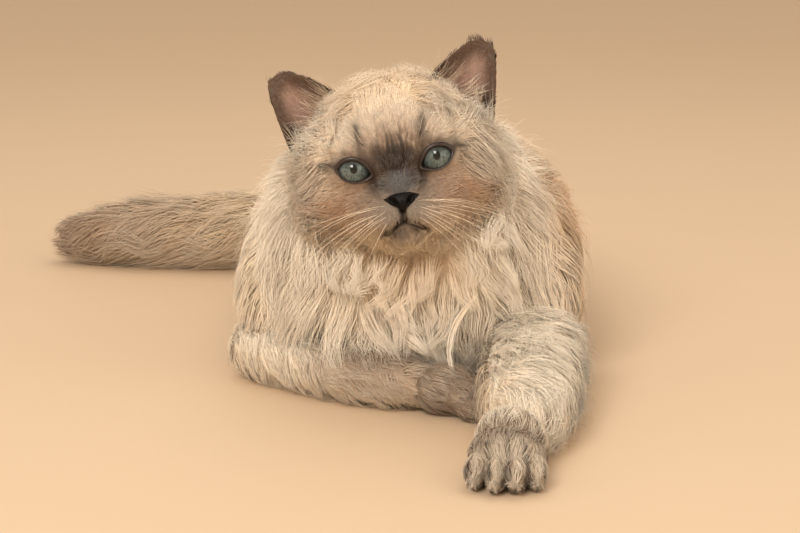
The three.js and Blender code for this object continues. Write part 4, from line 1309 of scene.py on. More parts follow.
def floor_material():
    """A plain matt board, pale and warm, with the faintest mottling."""
    made, tree = material("pale_board")
    place = node(tree, "TexCoord").outputs["Object"]
    noise = node(tree, "TexNoise", {"Vector": place, "Scale": 1 / (BOARD_MOTTLE * MM), "Detail": 2.0})
    colour = node(tree, "Mix", {"Factor": noise.outputs["Fac"], "A": (*shade("floor") * BOARD_DARK, 1),
                                "B": (*shade("floor"), 1)}, data_type="RGBA")
    shader = node(tree, "BsdfPrincipled", {"Base Color": colour.outputs["Result"], "Roughness": 0.6})
    surface(tree, shader)
    return made


# Skin
EAR_CELLS = 28  # of an ear's mesh, each way
EAR_SUNK = 0.1  # share of an ear's height that is sunk in the head
SKIN_SHADE = 0.8  # how bright skin is beside the hair on it: painted shade from the coat that lies over it
FACE_FRONT = 20.0  # the face lies further forward in the head than this
TAIL_NEAR = 4.0  # how near to a form the joined skin takes that form's colour
FOLDED_NEAR = 3.0

def mesh_from(made, name):
    """A named mesh from a bmesh, which is freed."""
    mesh = bpy.data.meshes.new(name)
    made.to_mesh(mesh)
    made.free()
    return mesh


def vertex_places(mesh):
    """Where the vertices of a mesh are, in its own units."""
    places = np.zeros(len(mesh.vertices) * 3)
    mesh.vertices.foreach_get("co", places)
    return places.reshape(-1, 3)


def place_vertices(mesh, places):
    mesh.vertices.foreach_set("co", (places * MM).ravel())
    mesh.update()


def ball(rows, columns, shape):
    """A bmesh sphere whose vertices a function moves: shares along it and angles round it."""
    made = bmesh.new()
    bmesh.ops.create_uvsphere(made, u_segments=columns, v_segments=rows, radius=1)
    mesh = mesh_from(made, "ball")
    co = vertex_places(mesh)
    share = np.arccos(np.clip(co[:, 2], -1, 1)) / math.pi
    place_vertices(mesh, shape(share, np.arctan2(co[:, 1], co[:, 0])))
    return mesh


def ear_shell(side):
    """An ear's skin: a bmesh grid, curled by the ear's sizes and given its thickness."""
    made = bmesh.new()
    bmesh.ops.create_grid(made, x_segments=EAR_CELLS, y_segments=EAR_CELLS, size=0.5)
    bmesh.ops.solidify(made, geom=made.faces[:], thickness=1e-3)
    mesh = mesh_from(made, "ear")
    co = vertex_places(mesh)
    middle = (co[:, 2].max() + co[:, 2].min()) / 2
    off = np.sign(co[:, 2] - middle) * EAR_SKIN
    across = np.clip(co[:, 0] + 0.5, 0, 1)
    upward = (1 + EAR_SUNK) * (co[:, 1] + 0.5) - EAR_SUNK
    place_vertices(mesh, to_world(ear_places(side, across, upward, off)))
    return mesh


def joined(name, meshes, voxel):
    """One closed mesh from overlapping ones, by a voxel remesh and a light smoothing."""
    made = bmesh.new()
    for mesh in meshes:
        made.from_mesh(mesh)
        bpy.data.meshes.remove(mesh)
    whole = mesh_from(made, name)
    carrier = bpy.data.objects.new(name, whole)
    bpy.context.scene.collection.objects.link(carrier)
    remesh = carrier.modifiers.new("remesh", "REMESH")
    remesh.mode = "VOXEL"
    remesh.voxel_size = voxel * MM
    relax = carrier.modifiers.new("relax", "SMOOTH")
    relax.factor = 0.5
    relax.iterations = 4
    bpy.context.view_layer.update()
    finished = carrier.evaluated_get(bpy.context.evaluated_depsgraph_get())
    result = bpy.data.meshes.new_from_object(finished)
    bpy.data.objects.remove(carrier)
    bpy.data.meshes.remove(whole)
    return result


def make_skin():
    """One skin under the coat, with the coat's markings."""
    voxel = size("skin_grain")
    ovals = [oval for paw in PAWS.values() for oval in paw_ovals(paw)]
    body = [ball(48, 64, functools.partial(form_places, form)) for form in FORMS.values()]
    body = joined("body", body, voxel)
    paws = [ball(24, 32, functools.partial(oval_places, oval)) for oval in ovals]
    paws = joined("paws", paws, voxel / 2)
    head = ball(190, 250, lambda share, angle: to_world(head_skin(share, angle)))
    parts = (("body", body), ("paws", paws), ("head", head), ("ear", ear_shell(1)), ("ear", ear_shell(-1)))
    whole = bmesh.new()
    tints = []
    for part, mesh in parts:
        whole.from_mesh(mesh)
        tints.append(skin_colour(part, vertex_places(mesh) / MM))
        bpy.data.meshes.remove(mesh)
    skin = mesh_from(whole, "skin")
    skin.shade_smooth()
    paint(skin, np.concatenate(tints))
    piece = add_piece("skin", skin, skin_material())
    flesh = [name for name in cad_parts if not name.startswith(("eye", "nose"))]
    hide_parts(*flesh)


def skin_colour(part, places):
    """The coat's markings on the skin, a little darker on the head and the paws as painted shade from the
    coat over it.
    """
    if part == "head":
        local = to_head(places)
        lips = (local[:, 1] < -FACE_FRONT) * bump((mouth_away(local), 1.3))
        return marked(head_colour(local) * SKIN_SHADE, ("lid_rim", lips))
    if part == "ear":
        return ear_inside_colour(places)
    if part == "paws":
        return paw_colour(places) * SKIN_SHADE
    colour = body_colour(places)
    tail = form_depth(FORMS["tail"], places) > -TAIL_NEAR
    folded = form_depth(FORMS["forearm_right"], places) > -FOLDED_NEAR
    colour[tail] = tail_colour(places[tail])
    colour[folded] = folded_colour(places[folded])
    return colour


# Eyes, lids, nose and whiskers
FACE_SPAN = (-90.0, -10.0)  # between which the face's surface is looked for
LID_STEPS = 60
LID_OUT = 0.6  # how far the rims stand out of the skin
WHISKERS_IN_ROWS = (4, 4, 4, 2)
WHISKERS_FROM = (9.5, -20)  # sideways and up in the head, of the first one on a pad
WHISKER_STEP = 3.9  # between those of a row
ROW_STEP = 3.1
ROW_FALL = 0.5  # how much lower each one of a row is
WHISKER_SIDES = 5
BROW_HAIRS = 3
BROW_HAIRS_FROM = (17, 18)  # sideways and up, of the first long hair over an eye
BROW_HAIR_STEP = 3


def eye_frame(side):
    """An eye's centre and the turn that points -Y along its gaze, to the viewer."""
    sign = 1 if side == "left" else -1
    at = to_world(np.array([sign * EYE_APART / 2, -EYE_DEPTH, EYE_HEIGHT]))
    gaze = Vector(CAMERA_AT) / MM - Vector(at)
    return at, gaze.to_track_quat("-Y", "Z")


def make_eyes():
    """Both eyes: a ball with a bulging cornea at its front."""
    for side in ("left", "right"):
        at, turn = eye_frame(side)
        made = bmesh.new()
        bmesh.ops.create_uvsphere(made, u_segments=64, v_segments=48, radius=EYE_RADIUS)
        quarter = Matrix.Rotation(math.pi / 2, 3, "X")
        bmesh.ops.rotate(made, verts=made.verts, cent=(0, 0, 0), matrix=quarter)
        for vertex in made.verts:
            away = math.hypot(vertex.co.x, vertex.co.z)
            if vertex.co.y < 0 and away < size("iris_radius"):
                vertex.co.y -= size("cornea_bulge") * (1 - (away / size("iris_radius")) ** 2) ** 1.5
        placed = Matrix.Translation(Vector(at)) @ turn.to_matrix().to_4x4()
        bmesh.ops.transform(made, matrix=placed, verts=made.verts)
        bmesh.ops.scale(made, vec=(MM, MM, MM), verts=made.verts)
        bmesh.ops.recalc_face_normals(made, faces=made.faces)
        mesh = mesh_from(made, "eyeball_" + side)
        mesh.shade_smooth()
        piece = add_piece("eyeball_" + side, mesh, eye_material(side))
        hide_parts("eye_" + side)


def face_y(x, z, inset):
    """How far forward the face's surface is, at a width and height in the head, less an inset."""
    low, high = FACE_SPAN
    for _ in range(22):
        middle = (low + high) / 2
        if head_distance(np.array([x, middle, z])) > 0:
            low = middle
        else:
            high = middle
    return low + inset


def tube(made, points, radii, sides):
    """Adds an open tube of changing radius along points to a bmesh, and gives its rings."""
    rings = []
    for i, point in enumerate(points):
        ahead = (points[min(i + 1, len(points) - 1)] - points[max(i - 1, 0)]).normalized()
        ring = bmesh.ops.create_circle(made, segments=sides, radius=max(radii[i], 0.01))["verts"]
        matrix = Matrix.Translation(point) @ ahead.to_track_quat("Z", "Y").to_matrix().to_4x4()
        bmesh.ops.transform(made, matrix=matrix, verts=ring)
        rings.append(ring)
    edges = [list({e for v in ring for e in v.link_edges}) for ring in rings]
    for a, b in zip(edges, edges[1:]):
        bmesh.ops.bridge_loops(made, edges=a + b)
    return rings


def make_lids():
    """The bare dark rims round both eyes, thicker above than below."""
    made = bmesh.new()
    edge = lid_outline(np.arange(LID_STEPS) / LID_STEPS)
    for sign in (1, -1):
        middle = Vector(to_world(np.array([sign * EYE_APART / 2, -EYE_DEPTH, EYE_HEIGHT])))
        points = []
        for out, up in edge:
            x, z = EYE_APART / 2 + out, EYE_HEIGHT + up
            points.append(Vector(to_world(np.array([sign * x, face_y(x, z, FACE_FUR + LID_OUT), z]))))
        rings = []
        for i, point in enumerate(points):
            ahead = (points[(i + 1) % LID_STEPS] - points[i - 1]).normalized()
            gaze = (point - middle).normalized()
            radial = ahead.cross(gaze).normalized()
            thick = size("lid_thickness") * (0.55 + 1.5 * smooth(edge[i][1], -3.0, 3.5))
            turn = Matrix((radial * thick, gaze * size("lid_thickness") * 2, ahead)).transposed().to_4x4()
            circle = bmesh.ops.create_circle(made, segments=8, radius=1)["verts"]
            bmesh.ops.transform(made, matrix=Matrix.Translation(point) @ turn, verts=circle)
            rings.append(list({e for vertex in circle for e in vertex.link_edges}))
        for a, b in zip(rings, rings[1:] + rings[:1]):
            bmesh.ops.bridge_loops(made, edges=a + b)
    bmesh.ops.recalc_face_normals(made, faces=made.faces)
    bmesh.ops.scale(made, vec=(MM, MM, MM), verts=made.verts)
    mesh = mesh_from(made, "lids")
    mesh.shade_smooth()
    add_piece("lids", mesh, rim_material())


def nose_places(share, angle):
    """The nose leather: a soft heart with a comma-shaped nostril and a thin wing at each side."""
    polar = math.pi * share
    x = np.sin(polar) * np.cos(angle)
    z = np.sin(polar) * np.sin(angle)
    y = -np.cos(polar)
    top = smooth(z, -0.95, 0.3)
    width = size("nose_width") / 2 * (0.26 + 0.82 * top)
    across = x * width
    height = z * size("nose_height") * 0.54 + 1.5 * x**2 * smooth(z, -0.1, 0.5) - 0.6
    wing = smooth(np.abs(x), 0.8, 1.0) * bump((height - 1.6, 1.1))
    across = across + np.sign(x) * 1.6 * wing
    height = height + 0.9 * wing
    depth = NOSE_AT[1] + 2.2 + y * 4.4 + 1.8 * x**2
    front = y < 0
    slit = bump((np.abs(across) - 3.9 - 0.5 * (height - 0.2), 1.05), (height - 0.2, 2.1)) * front
    comma = bump((np.abs(across) - 6.6, 1.9), (height - 2.0, 0.75)) * front
    middle = 0.6 * bump((across, 0.55)) * front * smooth(-height, -2, 2)
    depth = depth + 3.4 * slit + 2.0 * comma + middle
    return to_world(np.stack([across + NOSE_AT[0], depth, height + NOSE_AT[2]], -1))


def make_nose():
    """The nose leather, as one closed pad."""
    mesh = ball(64, 96, nose_places)
    mesh.name = "nose_pad"
    made = bmesh.new()
    made.from_mesh(mesh)
    bmesh.ops.recalc_face_normals(made, faces=made.faces)
    made.to_mesh(mesh)
    made.free()
    mesh.shade_smooth()
    piece = add_piece("nose_pad", mesh, leather_material())
    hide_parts("nose")


def make_whiskers():
    """Whiskers in four rows on each pad, and a few long hairs over the eyes."""
    rng = np.random.default_rng(5)
    made = bmesh.new()
    for sign in (1, -1):
        for row, row_count in enumerate(WHISKERS_IN_ROWS):
            for column in range(row_count):
                x = WHISKERS_FROM[0] + WHISKER_STEP * column
                z = WHISKERS_FROM[1] - ROW_STEP * row - ROW_FALL * column
                root = np.array([x * sign, face_y(x, z, 1), z])
                out = np.array([sign * (0.8 + 0.06 * column), -0.5 + 0.2 * column, 0.05 - 0.17 * row])
                fall = np.array([0.25 * sign, 0.3, -0.65 - 0.1 * row])
                length = size("whisker_length") - 4 * abs(column - 2) + rng.uniform(-12, 12)
                whisker(made, root, out + rng.normal(size=3) * 0.1, fall, length, size("whisker_radius"))
        for k in range(BROW_HAIRS):
            x, z = BROW_HAIRS_FROM[0] + BROW_HAIR_STEP * k, BROW_HAIRS_FROM[1]
            root = np.array([x * sign, face_y(x, z, 1), z])
            out = np.array([sign * (0.25 + 0.2 * k), -0.45, 0.75])
            fall = np.array([0.1 * sign, 0.4, -0.2])
            whisker(made, root, out, fall, 24 - 4 * k, size("whisker_radius"))
    bmesh.ops.scale(made, vec=(MM, MM, MM), verts=made.verts)
    mesh = mesh_from(made, "whiskers")
    mesh.shade_smooth()
    add_piece("whiskers", mesh, whisker_material())


def whisker(made, root, out, fall, length, radius):
    """One whisker: a fine tapered tube that leaves along out and bends by fall."""
    out = out / np.linalg.norm(out)
    shares = np.linspace(0, 1, 12)
    points = [Vector(to_world(root + length * (out * t + fall * t * t * 0.6))) for t in shares]
    radii = [radius * (1 - 0.8 * t) for t in shares]
    rings = tube(made, points, radii, WHISKER_SIDES)
    bmesh.ops.contextual_create(made, geom=rings[0])
    bmesh.ops.contextual_create(made, geom=rings[-1])


# Lies of the coat: directions from a place, its normal and the way along its surface

def lying(ahead=1.0, down=0.0, out=0.0, front=0.0, left=0.0):
    """A lie that mixes the way along a form, straight down, out to its side, forward and left."""
    def way(place, normal, forward):
        steady = np.array([left, -front, -down])
        return forward * ahead + steady + normal[:, :1] * np.array([out, 0, 0])
    return way


def face_lie(place, normal, forward):
    """Away from the nose, round the eyes, and down on the cheeks and jaw."""
    local = to_head(place)
    x, y, z = local[:, 0], local[:, 1], local[:, 2]
    away = unit(local - np.array([0, -58.0, -12.0]))
    sideways = smooth(np.abs(x), 20, 48)
    low = smooth(-z, 8, 40)
    way = away + np.stack([0.6 * np.sign(x) * sideways, 0.3 * sideways, -0.5 * sideways - 0.5 * low], -1)
    jaw = smooth(-z, 28, 44)
    way = way + np.stack([-0.6 * np.sign(x) * sideways * jaw, -0.5 * jaw, -1.2 * jaw], -1)
    out, up = lid_offset(local)
    near = bump((np.maximum(lid_reach(local) - 1, 0), 0.7))[:, None]
    from_eye = unit(np.stack([out * np.sign(x), 0 * x, up], -1))
    way = way + from_eye * near * 1.6 * np.maximum(0, 0.3 - dot(unit(way), from_eye))
    nape = smooth(y, 5, 30)
    way = way + np.stack([0 * x, 0 * x, -0.9 * nape], -1)
    return way @ HEAD_TURN.T


def open_face(place):
    """Leaves out the eyes' openings, the nose and the parting of the lips."""
    local = to_head(place)
    front = local[:, 1] < -FACE_FRONT
    eye = (lid_reach(local) < 1.12) & front
    nose = (bump((local[:, 0], 8.2), (local[:, 2] - NOSE_AT[2], 5.6)) > 0.42) & front
    lips = (mouth_away(local) < 0.8) & front
    return ~(eye | nose | lips)


def face_style(place):
    """Length of the head's hair in centimetres, from the short nose to the long cheeks, its lift
    and how loose it is."""
    local = to_head(place)
    x, y, z = np.abs(local[:, 0]), local[:, 1], local[:, 2]
    nose = np.linalg.norm(local - np.array([0, -57.0, -14.0]), axis=-1)
    length = 2.2 + 3.0 * smooth(nose, 8, 22) + 3.0 * smooth(nose, 22, 44) + 6 * smooth(z, 20, 44)
    length += 6 * bump((x - 26, 14), (z + 26, 10)) + 18 * smooth(x, 32, 50) + 8 * smooth(y, -22, 10)
    length += 16 * smooth(-z, 38, 50) * smooth(nose, 26, 44)
    length += 8 * bump((x - 40, 14), (z - 36, 12))
    eye = bump((np.maximum(lid_reach(local) - 1, 0), 0.5)) * smooth(-y, 10, 25)
    length *= 1 - 0.45 * eye
    length += 4 * smooth(z, 34, 48)
    loose = np.clip(smooth(x, 28, 46) + smooth(-z, 30, 42) + smooth(y, -16, -4), 0, 1)
    lift = 1 + 0.5 * smooth(x, 32, 50) + 0.4 * smooth(-z, 36, 48)
    return dict(length=length / 10, lift=lift, loose=loose)


# Coat pieces

def on_head(places):
    return head_colour(to_head(places))


def coat_face():
    piece = new_piece(11)
    tufts(piece, "head", density=210, length=(8.5, 11.5), width=0.3, lie=face_lie, steps=2, lock=5,
          clump=0.4, stray=0.01, spread=0.1, swing=0.1, tip=0.04, span=(0.0, 0.31), where=open_face,
          style=face_style, colour=on_head)
    finish_coat("coat_face", piece, hair("mask_hair"))


def coat_cheeks():
    piece = new_piece(22)
    tufts(piece, "head", density=85, length=(8.5, 11.5), width=0.36, lie=face_lie, steps=3, lock=7,
          clump=0.45, stray=0.05, spread=0.16, swing=0.15, tip=0.15, loose=0.5, span=(0.3, 0.5),
          where=open_face,
          style=face_style, colour=on_head)
    finish_coat("coat_cheeks", piece, hair("mask_hair"))


def cheek_fringe(place):
    """The sides of the face and the jaw, where the long hair leaves the head."""
    local = to_head(place)
    x, y, z = np.abs(local[:, 0]), local[:, 1], local[:, 2]
    sides = (y > -34) & (x > 36 + 0.25 * z)
    jaw = (y > -34 - 0.7 * np.maximum(0, -z - 38)) & (z < -36)
    return (y < 16) & (z < 22) & (sides | jaw)


def fringe_lie(place, normal, forward):
    """Out and down from the cheeks, and down from the jaw."""
    local = to_head(place)
    x = local[:, :1]
    jaw = smooth(-local[:, 2:], 26, 42)
    side = 1.1 * np.clip(x / 40, -1, 1) * (1 - 0.5 * jaw)
    return np.concatenate([side, 0.25 * jaw - 0.15, -0.5 - 0.3 * jaw], 1)


def coat_fringe():
    piece = new_piece(24)
    tufts(piece, "head", density=46, length=(20, 34), width=0.42, lie=fringe_lie, steps=3, lock=8,
          clump=0.5, wave=2.5, stray=0.08, spread=0.2, swing=0.25, loose=0.85, lift=1.4,
          colour=on_head, where=cheek_fringe)
    finish_coat("coat_fringe", piece, hair("cream_hair"))


def before_ear(place):
    """The head in front of an ear's foot, whose hair covers the lower third of the ear."""
    local = to_head(place)
    flat = np.stack([np.abs(local[:, 0]), local[:, 2]], -1) - EAR_INNER[[0, 2]]
    foot = (EAR_OUTER - EAR_INNER)[[0, 2]]
    share = np.clip(flat @ foot / (foot @ foot), 0, 1.1)
    away = np.linalg.norm(flat - share[:, None] * foot, axis=1)
    return (away < 9) & (local[:, 1] < 2) & (local[:, 1] > -40)


def ear_cover_lie(place, normal, forward):
    """Out and up from the head, over the foot of the ear."""
    side = np.sign(to_head(place)[:, :1])
    return np.concatenate([0.75 * side, 0 * side - 0.3, 0 * side + 0.6], 1) @ HEAD_TURN.T


def coat_head():
    piece = new_piece(12)
    tufts(piece, "head", density=42, length=(9.5, 13), width=0.42, lie=face_lie, steps=3, lock=8,
          clump=0.4, stray=0.14, spread=0.26, swing=0.3, span=(0.49, 1.0), style=face_style,
          loose=0.3, lift=1.25, colour=on_head)
    tufts(piece, "head", density=42, length=(15, 24), width=0.38, lie=ear_cover_lie, steps=3, lock=7,
          clump=0.5, stray=0.1, spread=0.22, span=(0.2, 0.8), loose=0.75, lift=1.6,
          where=before_ear, colour=on_head)
    finish_coat("coat_head", piece, hair("cream_hair"))


def coat_ears():
    piece = new_piece(13)
    dark = functools.partial(even, "ear_rim")
    pale = functools.partial(even, "ear_hair")
    for side, sign in (("left", 1), ("right", -1)):
        for face, density, length, width, way, colour, options in (
            ("back", 95, (3, 5), 0.34, (0.35, 0.2, 1.0), dark, dict(steps=2, ends=0.5)),
            ("front", 95, (2, 3.5), 0.26, (0.5, -0.1, 0.9), ear_inside_colour,
             dict(steps=2, ends=0.5)),
            ("front", 170, (4, 7.5), 0.3, (-0.05, -0.15, 1.0), dark,
             dict(steps=2, where=ear_point, loose=0.5)),
            ("front", 20, (12, 24), 0.26, (0.8, -0.45, 0.35), pale,
             dict(steps=4, lift=5, where=ear_foot, tip=0.5, loose=0.3, spread=0.3)),
        ):
            turned = HEAD_TURN @ (np.array(way) * (sign, 1, 1))
            tufts(piece, f"ear_{face}_{side}", density=density, length=length, width=width,
                  lie=steady(turned), lock=6, clump=0.35, swing=0.1, colour=colour, **options)
    finish_coat("coat_ears", piece, hair("blue_hair"))


def ear_point(places):
    """The tip of an ear, which ends in a small tuft."""
    return ear_share(places)[1] < 0.2


def ear_foot(places):
    """The inner and lower part of an ear, where long pale hairs grow."""
    across, width = ear_share(places)
    return (width > 0.74) & (across > -0.1)


def steady(turned):
    """A lie that is the same everywhere."""
    return lambda place, normal, forward: np.tile(turned, (len(place), 1))


def chest_curls(places):
    """The middle of the chest, where the coat is wavy."""
    return (np.abs(places[:, 0] - 12) < 50) & (places[:, 2] > 34) & (places[:, 1] < -60)


def straight_coat(places):
    """The front of the chest beside its curls."""
    return chest_front(places) & (~chest_curls(places) | (places[:, 2] > 112) | (places[:, 2] < 44))


def high_ruff(places):
    """The ruff stands higher round the face, so that cheeks and ruff meet."""
    return dict(lift=1 + 0.45 * smooth(places[:, 2], 92, 125))


def chest_front(places):
    return places[:, 1] < -60


def coat_ruff():
    piece = new_piece(14)
    tufts(piece, "front", density=46, length=(24, 38), width=0.4, lie=lying(1, 0.1, 0.45, 0.15),
          span=(0.02, 0.62), steps=3, lock=10, clump=0.4, wave=3, droop=0.1, swing=0.5, spread=0.24,
          stray=0.08, loose=0.2, colour=body_colour, where=straight_coat, style=high_ruff)
    finish_coat("coat_ruff", piece, hair("cream_hair"))


def coat_bib():
    piece = new_piece(15)
    tufts(piece, "front", density=38, length=(22, 34), width=0.4, lie=lying(1, 0.1, 0.25, 0.1),
          span=(0.56, 1.0), steps=3, lock=9, clump=0.4, wave=3, swing=0.5, spread=0.24, stray=0.08,
          loose=0.2, colour=body_colour, where=straight_coat)
    tufts(piece, "front", density=10, length=(38, 54), width=0.8, lie=lying(1, 0, 0.2, -0.4),
          span=(0.02, 0.6), steps=3, lock=15, clump=0.6, colour=body_colour,
          where=lambda p: ~chest_front(p))
    finish_coat("coat_bib", piece, hair("cream_hair"))


def coat_curls():
    piece = new_piece(25)
    tufts(piece, "front", density=33, length=(20, 32), width=0.4, lie=lying(1, 0.1, 0.3, 0.2),
          span=(0.1, 0.92), steps=5, lock=11, clump=0.82, wave=8, swing=0.8, lift=1.25, stray=0.06,
          colour=body_colour, where=chest_curls)
    finish_coat("coat_curls", piece, hair("cream_hair"))


def trunk_piece(name, seed, span):
    piece = new_piece(seed)
    tufts(piece, "torso", density=7.8, length=(44, 62), width=0.85, lie=lying(0.85, 0.5), span=span,
          steps=3, lock=19, clump=0.7, wave=3, stray=0.05, colour=body_colour)
    finish_coat(name, piece, hair("cream_hair"))


def coat_trunk():
    trunk_piece("coat_trunk_front", 16, (0.0, 0.52))
    trunk_piece("coat_trunk_back", 23, (0.52, 1.0))


def coat_shoulders():
    piece = new_piece(17)
    for side in ("left", "right"):
        tufts(piece, f"shoulder_{side}", density=23, length=(38, 54), width=0.58,
              lie=lying(1, 0.1, 0.25, -0.35), steps=3, lock=16, clump=0.75, wave=4, stray=0.05,
              colour=body_colour)
    finish_coat("coat_shoulders", piece, hair("cream_hair"))


def coat_thighs():
    piece = new_piece(18)
    for side in ("left", "right"):
        tufts(piece, f"thigh_{side}", density=9, length=(40, 56), width=0.85,
              lie=lying(0.55, 0.65), steps=3, lock=18, clump=0.7, wave=3, colour=hind_colour)
    finish_coat("coat_thighs", piece, hair("cream_hair"))


def over_wrist(places):
    """The foreleg's hair stands higher and longer where it falls over the paw."""
    near = smooth(-places[:, 1], 222, 256)
    return dict(length=1 + 0.25 * near, lift=1 + 1.3 * near)


def off_wrist(places):
    """The paws, without the part that the stretched foreleg's hair covers."""
    return (places[:, 1] < -268) | (places[:, 1] > -240)


def coat_forearm():
    piece = new_piece(19)
    tufts(piece, "forearm_left", density=34, length=(20, 36), width=0.4,
          lie=lying(0.75, 0.25, left=0.4), steps=3, lock=7, clump=0.32, wave=2, stray=0.14,
          spread=0.2, swing=0.25, loose=0.6, colour=foreleg_colour, style=over_wrist)
    tress(piece, [[44, -162, 66], [33, -172, 53], [29, -180, 36], [34, -186, 17]], 1.8, 36)
    finish_coat("coat_forearm", piece, hair("cream_hair"))


def coat_folded():
    piece = new_piece(26)
    tufts(piece, "forearm_right", density=34, length=(11, 18), width=0.44,
          lie=lying(0.7, 0.55, front=0.15), steps=3, lock=7, clump=0.4, stray=0.06, spread=0.24,
          loose=0.2, colour=folded_colour, tip=0.3)
    finish_coat("coat_folded", piece, hair("blue_hair"))


def coat_paws():
    piece = new_piece(20)
    for name, paw in PAWS.items():
        forward = np.array([*unit(np.array(paw["forward"], float)), -0.35])
        for i in range(len(paw["ovals"]) + TOES):
            toe = i >= len(paw["ovals"])
            tufts(piece, f"{name}_{i}", density=50 if name.startswith("fore") else 16,
                  length=(8, 14) if toe else (11, 18), width=0.42, lie=steady(forward), steps=3,
                  lock=5, clump=0.5, lift=1.2, swing=0.15, loose=0.45 if toe else 0.3,
                  colour=paw_colour, tip=0.3, stray=0.02, where=off_wrist)
    finish_coat("coat_paws", piece, hair("blue_hair"))


def coat_tail():
    piece = new_piece(21)
    tufts(piece, "tail", density=15, length=(36, 52), width=0.66, lie=lying(0.9, 0.25),
          steps=3, lock=13, clump=0.45, wave=3, stray=0.12, swing=0.3, spread=0.24, loose=0.35, ends=0.5,
          span=(0.0, 0.965),
          colour=tail_colour)
    finish_coat("coat_tail", piece, hair("blue_hair"))


# Stage and camera, in metres
FLOOR_HALF = 4.0
LIGHTS_AIM = (0.0, -0.05, 0.1)
TOP_SHARE = 0.3  # of the key light's power
SENSOR_WIDTH = 36.0  # millimetres


def make_stage():
    """A wide pale floor, a soft key light, a fill, a light from above and the camera."""
    made = bmesh.new()
    bmesh.ops.create_grid(made, x_segments=1, y_segments=1, size=FLOOR_HALF)
    mesh = mesh_from(made, "floor")
    mesh.materials.append(floor_material())
    floor = bpy.data.objects.new("floor", mesh)
    bpy.context.scene.collection.objects.link(floor)
    settings = bpy.context.scene.cat_stage
    for name, at, width, share in (
        ("key_light", (-0.6, -1.65, 1.25), 0.75, 1.0),
        ("fill_light", (1.4, -1.1, 0.7), 1.4, settings.fill_share),
        ("top_light", (0.0, 0.5, 1.8), 1.4, TOP_SHARE),
    ):
        lamp = bpy.data.lights.new(name, "AREA")
        lamp.size = width
        lamp.energy = settings.key_power * share
        lamp.color = settings.light_colour
        light = bpy.data.objects.new(name, lamp)
        light.location = at
        aim = Vector(LIGHTS_AIM) - Vector(at)
        light.rotation_euler = aim.to_track_quat("-Z", "Y").to_euler()
        bpy.context.scene.collection.objects.link(light)
    world = bpy.data.worlds.new("soft_studio")
    world.use_nodes = True
    backdrop = world.node_tree.nodes["Background"]
    backdrop.inputs["Color"].default_value = (*settings.room_colour, 1)
    backdrop.inputs["Strength"].default_value = settings.world_strength
    bpy.context.scene.world = world
    bpy.context.scene.view_settings.view_transform = "Standard"
    camera = bpy.data.cameras.new("camera")
    camera.lens = settings.lens
    camera.sensor_width = SENSOR_WIDTH
    eye = bpy.data.objects.new("camera", camera)
    eye.location = CAMERA_AT
    eye.rotation_euler = (math.radians(90 - CAMERA_PITCH), 0, 0)
    bpy.context.scene.collection.objects.link(eye)
    bpy.context.scene.camera = eye


# The add-on

class CAT_OT_stage(bpy.types.Operator):
    """Lay the floor and set the lights and the camera"""
    bl_idname = "cat.stage"
    bl_label = "Stage"
    bl_options = {"REGISTER", "UNDO"}

    def execute(self, context):
        make_stage()
        return {"FINISHED"}


class CAT_OT_skin(bpy.types.Operator):
    """Make the skin that takes the place of the solid body"""
    bl_idname = "cat.skin"
    bl_label = "Skin"
    bl_options = {"REGISTER", "UNDO"}

    def execute(self, context):
        make_skin()
        return {"FINISHED"}


class CAT_OT_eyes(bpy.types.Operator):
    """Make the eyes and the bare rims of their lids"""
    bl_idname = "cat.eyes"
    bl_label = "Eyes and lids"
    bl_options = {"REGISTER", "UNDO"}

    def execute(self, context):
        make_eyes()
        make_lids()
        return {"FINISHED"}


class CAT_OT_nose(bpy.types.Operator):
    """Make the nose leather"""
    bl_idname = "cat.nose"
    bl_label = "Nose"
    bl_options = {"REGISTER", "UNDO"}

    def execute(self, context):
        make_nose()
        return {"FINISHED"}


class CAT_OT_whiskers(bpy.types.Operator):
    """Set the whiskers and the long hairs over the eyes"""
    bl_idname = "cat.whiskers"
    bl_label = "Whiskers"
    bl_options = {"REGISTER", "UNDO"}

    def execute(self, context):
        make_whiskers()
        return {"FINISHED"}


class CAT_OT_head_coat(bpy.types.Operator):
    """Grow the coat of the face, the cheeks, the crown and the ears"""
    bl_idname = "cat.head_coat"
    bl_label = "Coat of the head"
    bl_options = {"REGISTER", "UNDO"}

    def execute(self, context):
        coat_face()
        coat_cheeks()
        coat_fringe()
        coat_head()
        coat_ears()
        return {"FINISHED"}


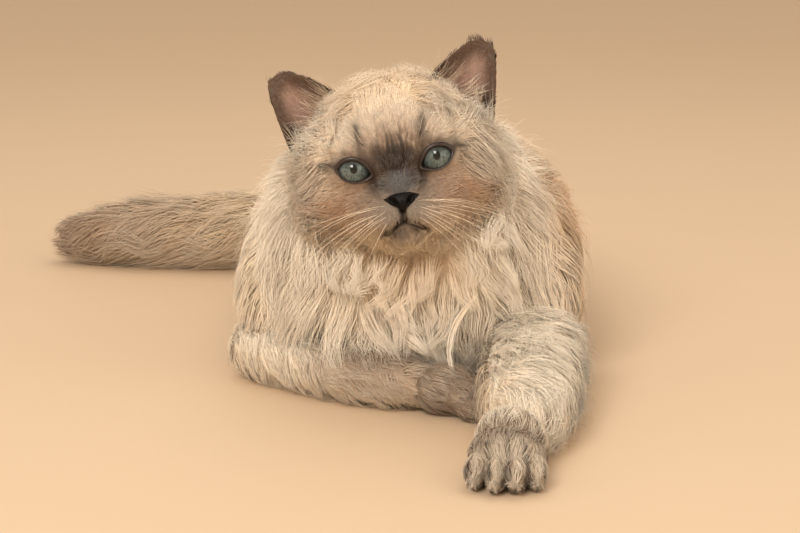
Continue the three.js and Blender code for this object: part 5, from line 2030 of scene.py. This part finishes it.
class CAT_OT_ruff(bpy.types.Operator):
    """Grow the ruff and the wavy bib"""
    bl_idname = "cat.ruff"
    bl_label = "Ruff and bib"
    bl_options = {"REGISTER", "UNDO"}

    def execute(self, context):
        coat_ruff()
        coat_bib()
        coat_curls()
        return {"FINISHED"}


class CAT_OT_trunk_coat(bpy.types.Operator):
    """Grow the coat of the trunk, the shoulders and the thighs"""
    bl_idname = "cat.trunk_coat"
    bl_label = "Coat of the trunk"
    bl_options = {"REGISTER", "UNDO"}

    def execute(self, context):
        coat_trunk()
        coat_shoulders()
        coat_thighs()
        return {"FINISHED"}


class CAT_OT_leg_coat(bpy.types.Operator):
    """Grow the coat of the forelegs, the paws and the tail"""
    bl_idname = "cat.leg_coat"
    bl_label = "Coat of legs and tail"
    bl_options = {"REGISTER", "UNDO"}

    def execute(self, context):
        coat_forearm()
        coat_folded()
        coat_paws()
        coat_tail()
        return {"FINISHED"}


OPERATORS = (
    CAT_OT_stage, CAT_OT_skin, CAT_OT_eyes, CAT_OT_nose, CAT_OT_whiskers,
    CAT_OT_head_coat, CAT_OT_ruff, CAT_OT_trunk_coat, CAT_OT_leg_coat,
)


class CAT_PT_panel(bpy.types.Panel):
    """Buttons for every piece of the cat"""
    bl_idname = "CAT_PT_panel"
    bl_label = "Persian cat"
    bl_space_type = "VIEW_3D"
    bl_region_type = "UI"
    bl_category = "Persian cat"

    def draw(self, context):
        for group, settings in GROUPS.items():
            for name in settings.__annotations__:
                self.layout.prop(getattr(context.scene, group), name)
        for operator in OPERATORS:
            self.layout.operator(operator.bl_idname)


GROUPS = {"cat_sizes": CatSizes, "cat_colours": CatColours, "cat_stage": CatStage}
CLASSES = (*GROUPS.values(), *OPERATORS, CAT_PT_panel)


def register():
    for cls in CLASSES:
        bpy.utils.register_class(cls)
    for group, settings in GROUPS.items():
        setattr(bpy.types.Scene, group, PointerProperty(type=settings))


def unregister():
    for group in GROUPS:
        delattr(bpy.types.Scene, group)
    for cls in reversed(CLASSES):
        bpy.utils.unregister_class(cls)


def main():
    """Builds the whole cat."""
    register()
    for operator in OPERATORS:
        group, name = operator.bl_idname.split(".")
        getattr(getattr(bpy.ops, group), name)()


if __name__ == "__main__":
    main()
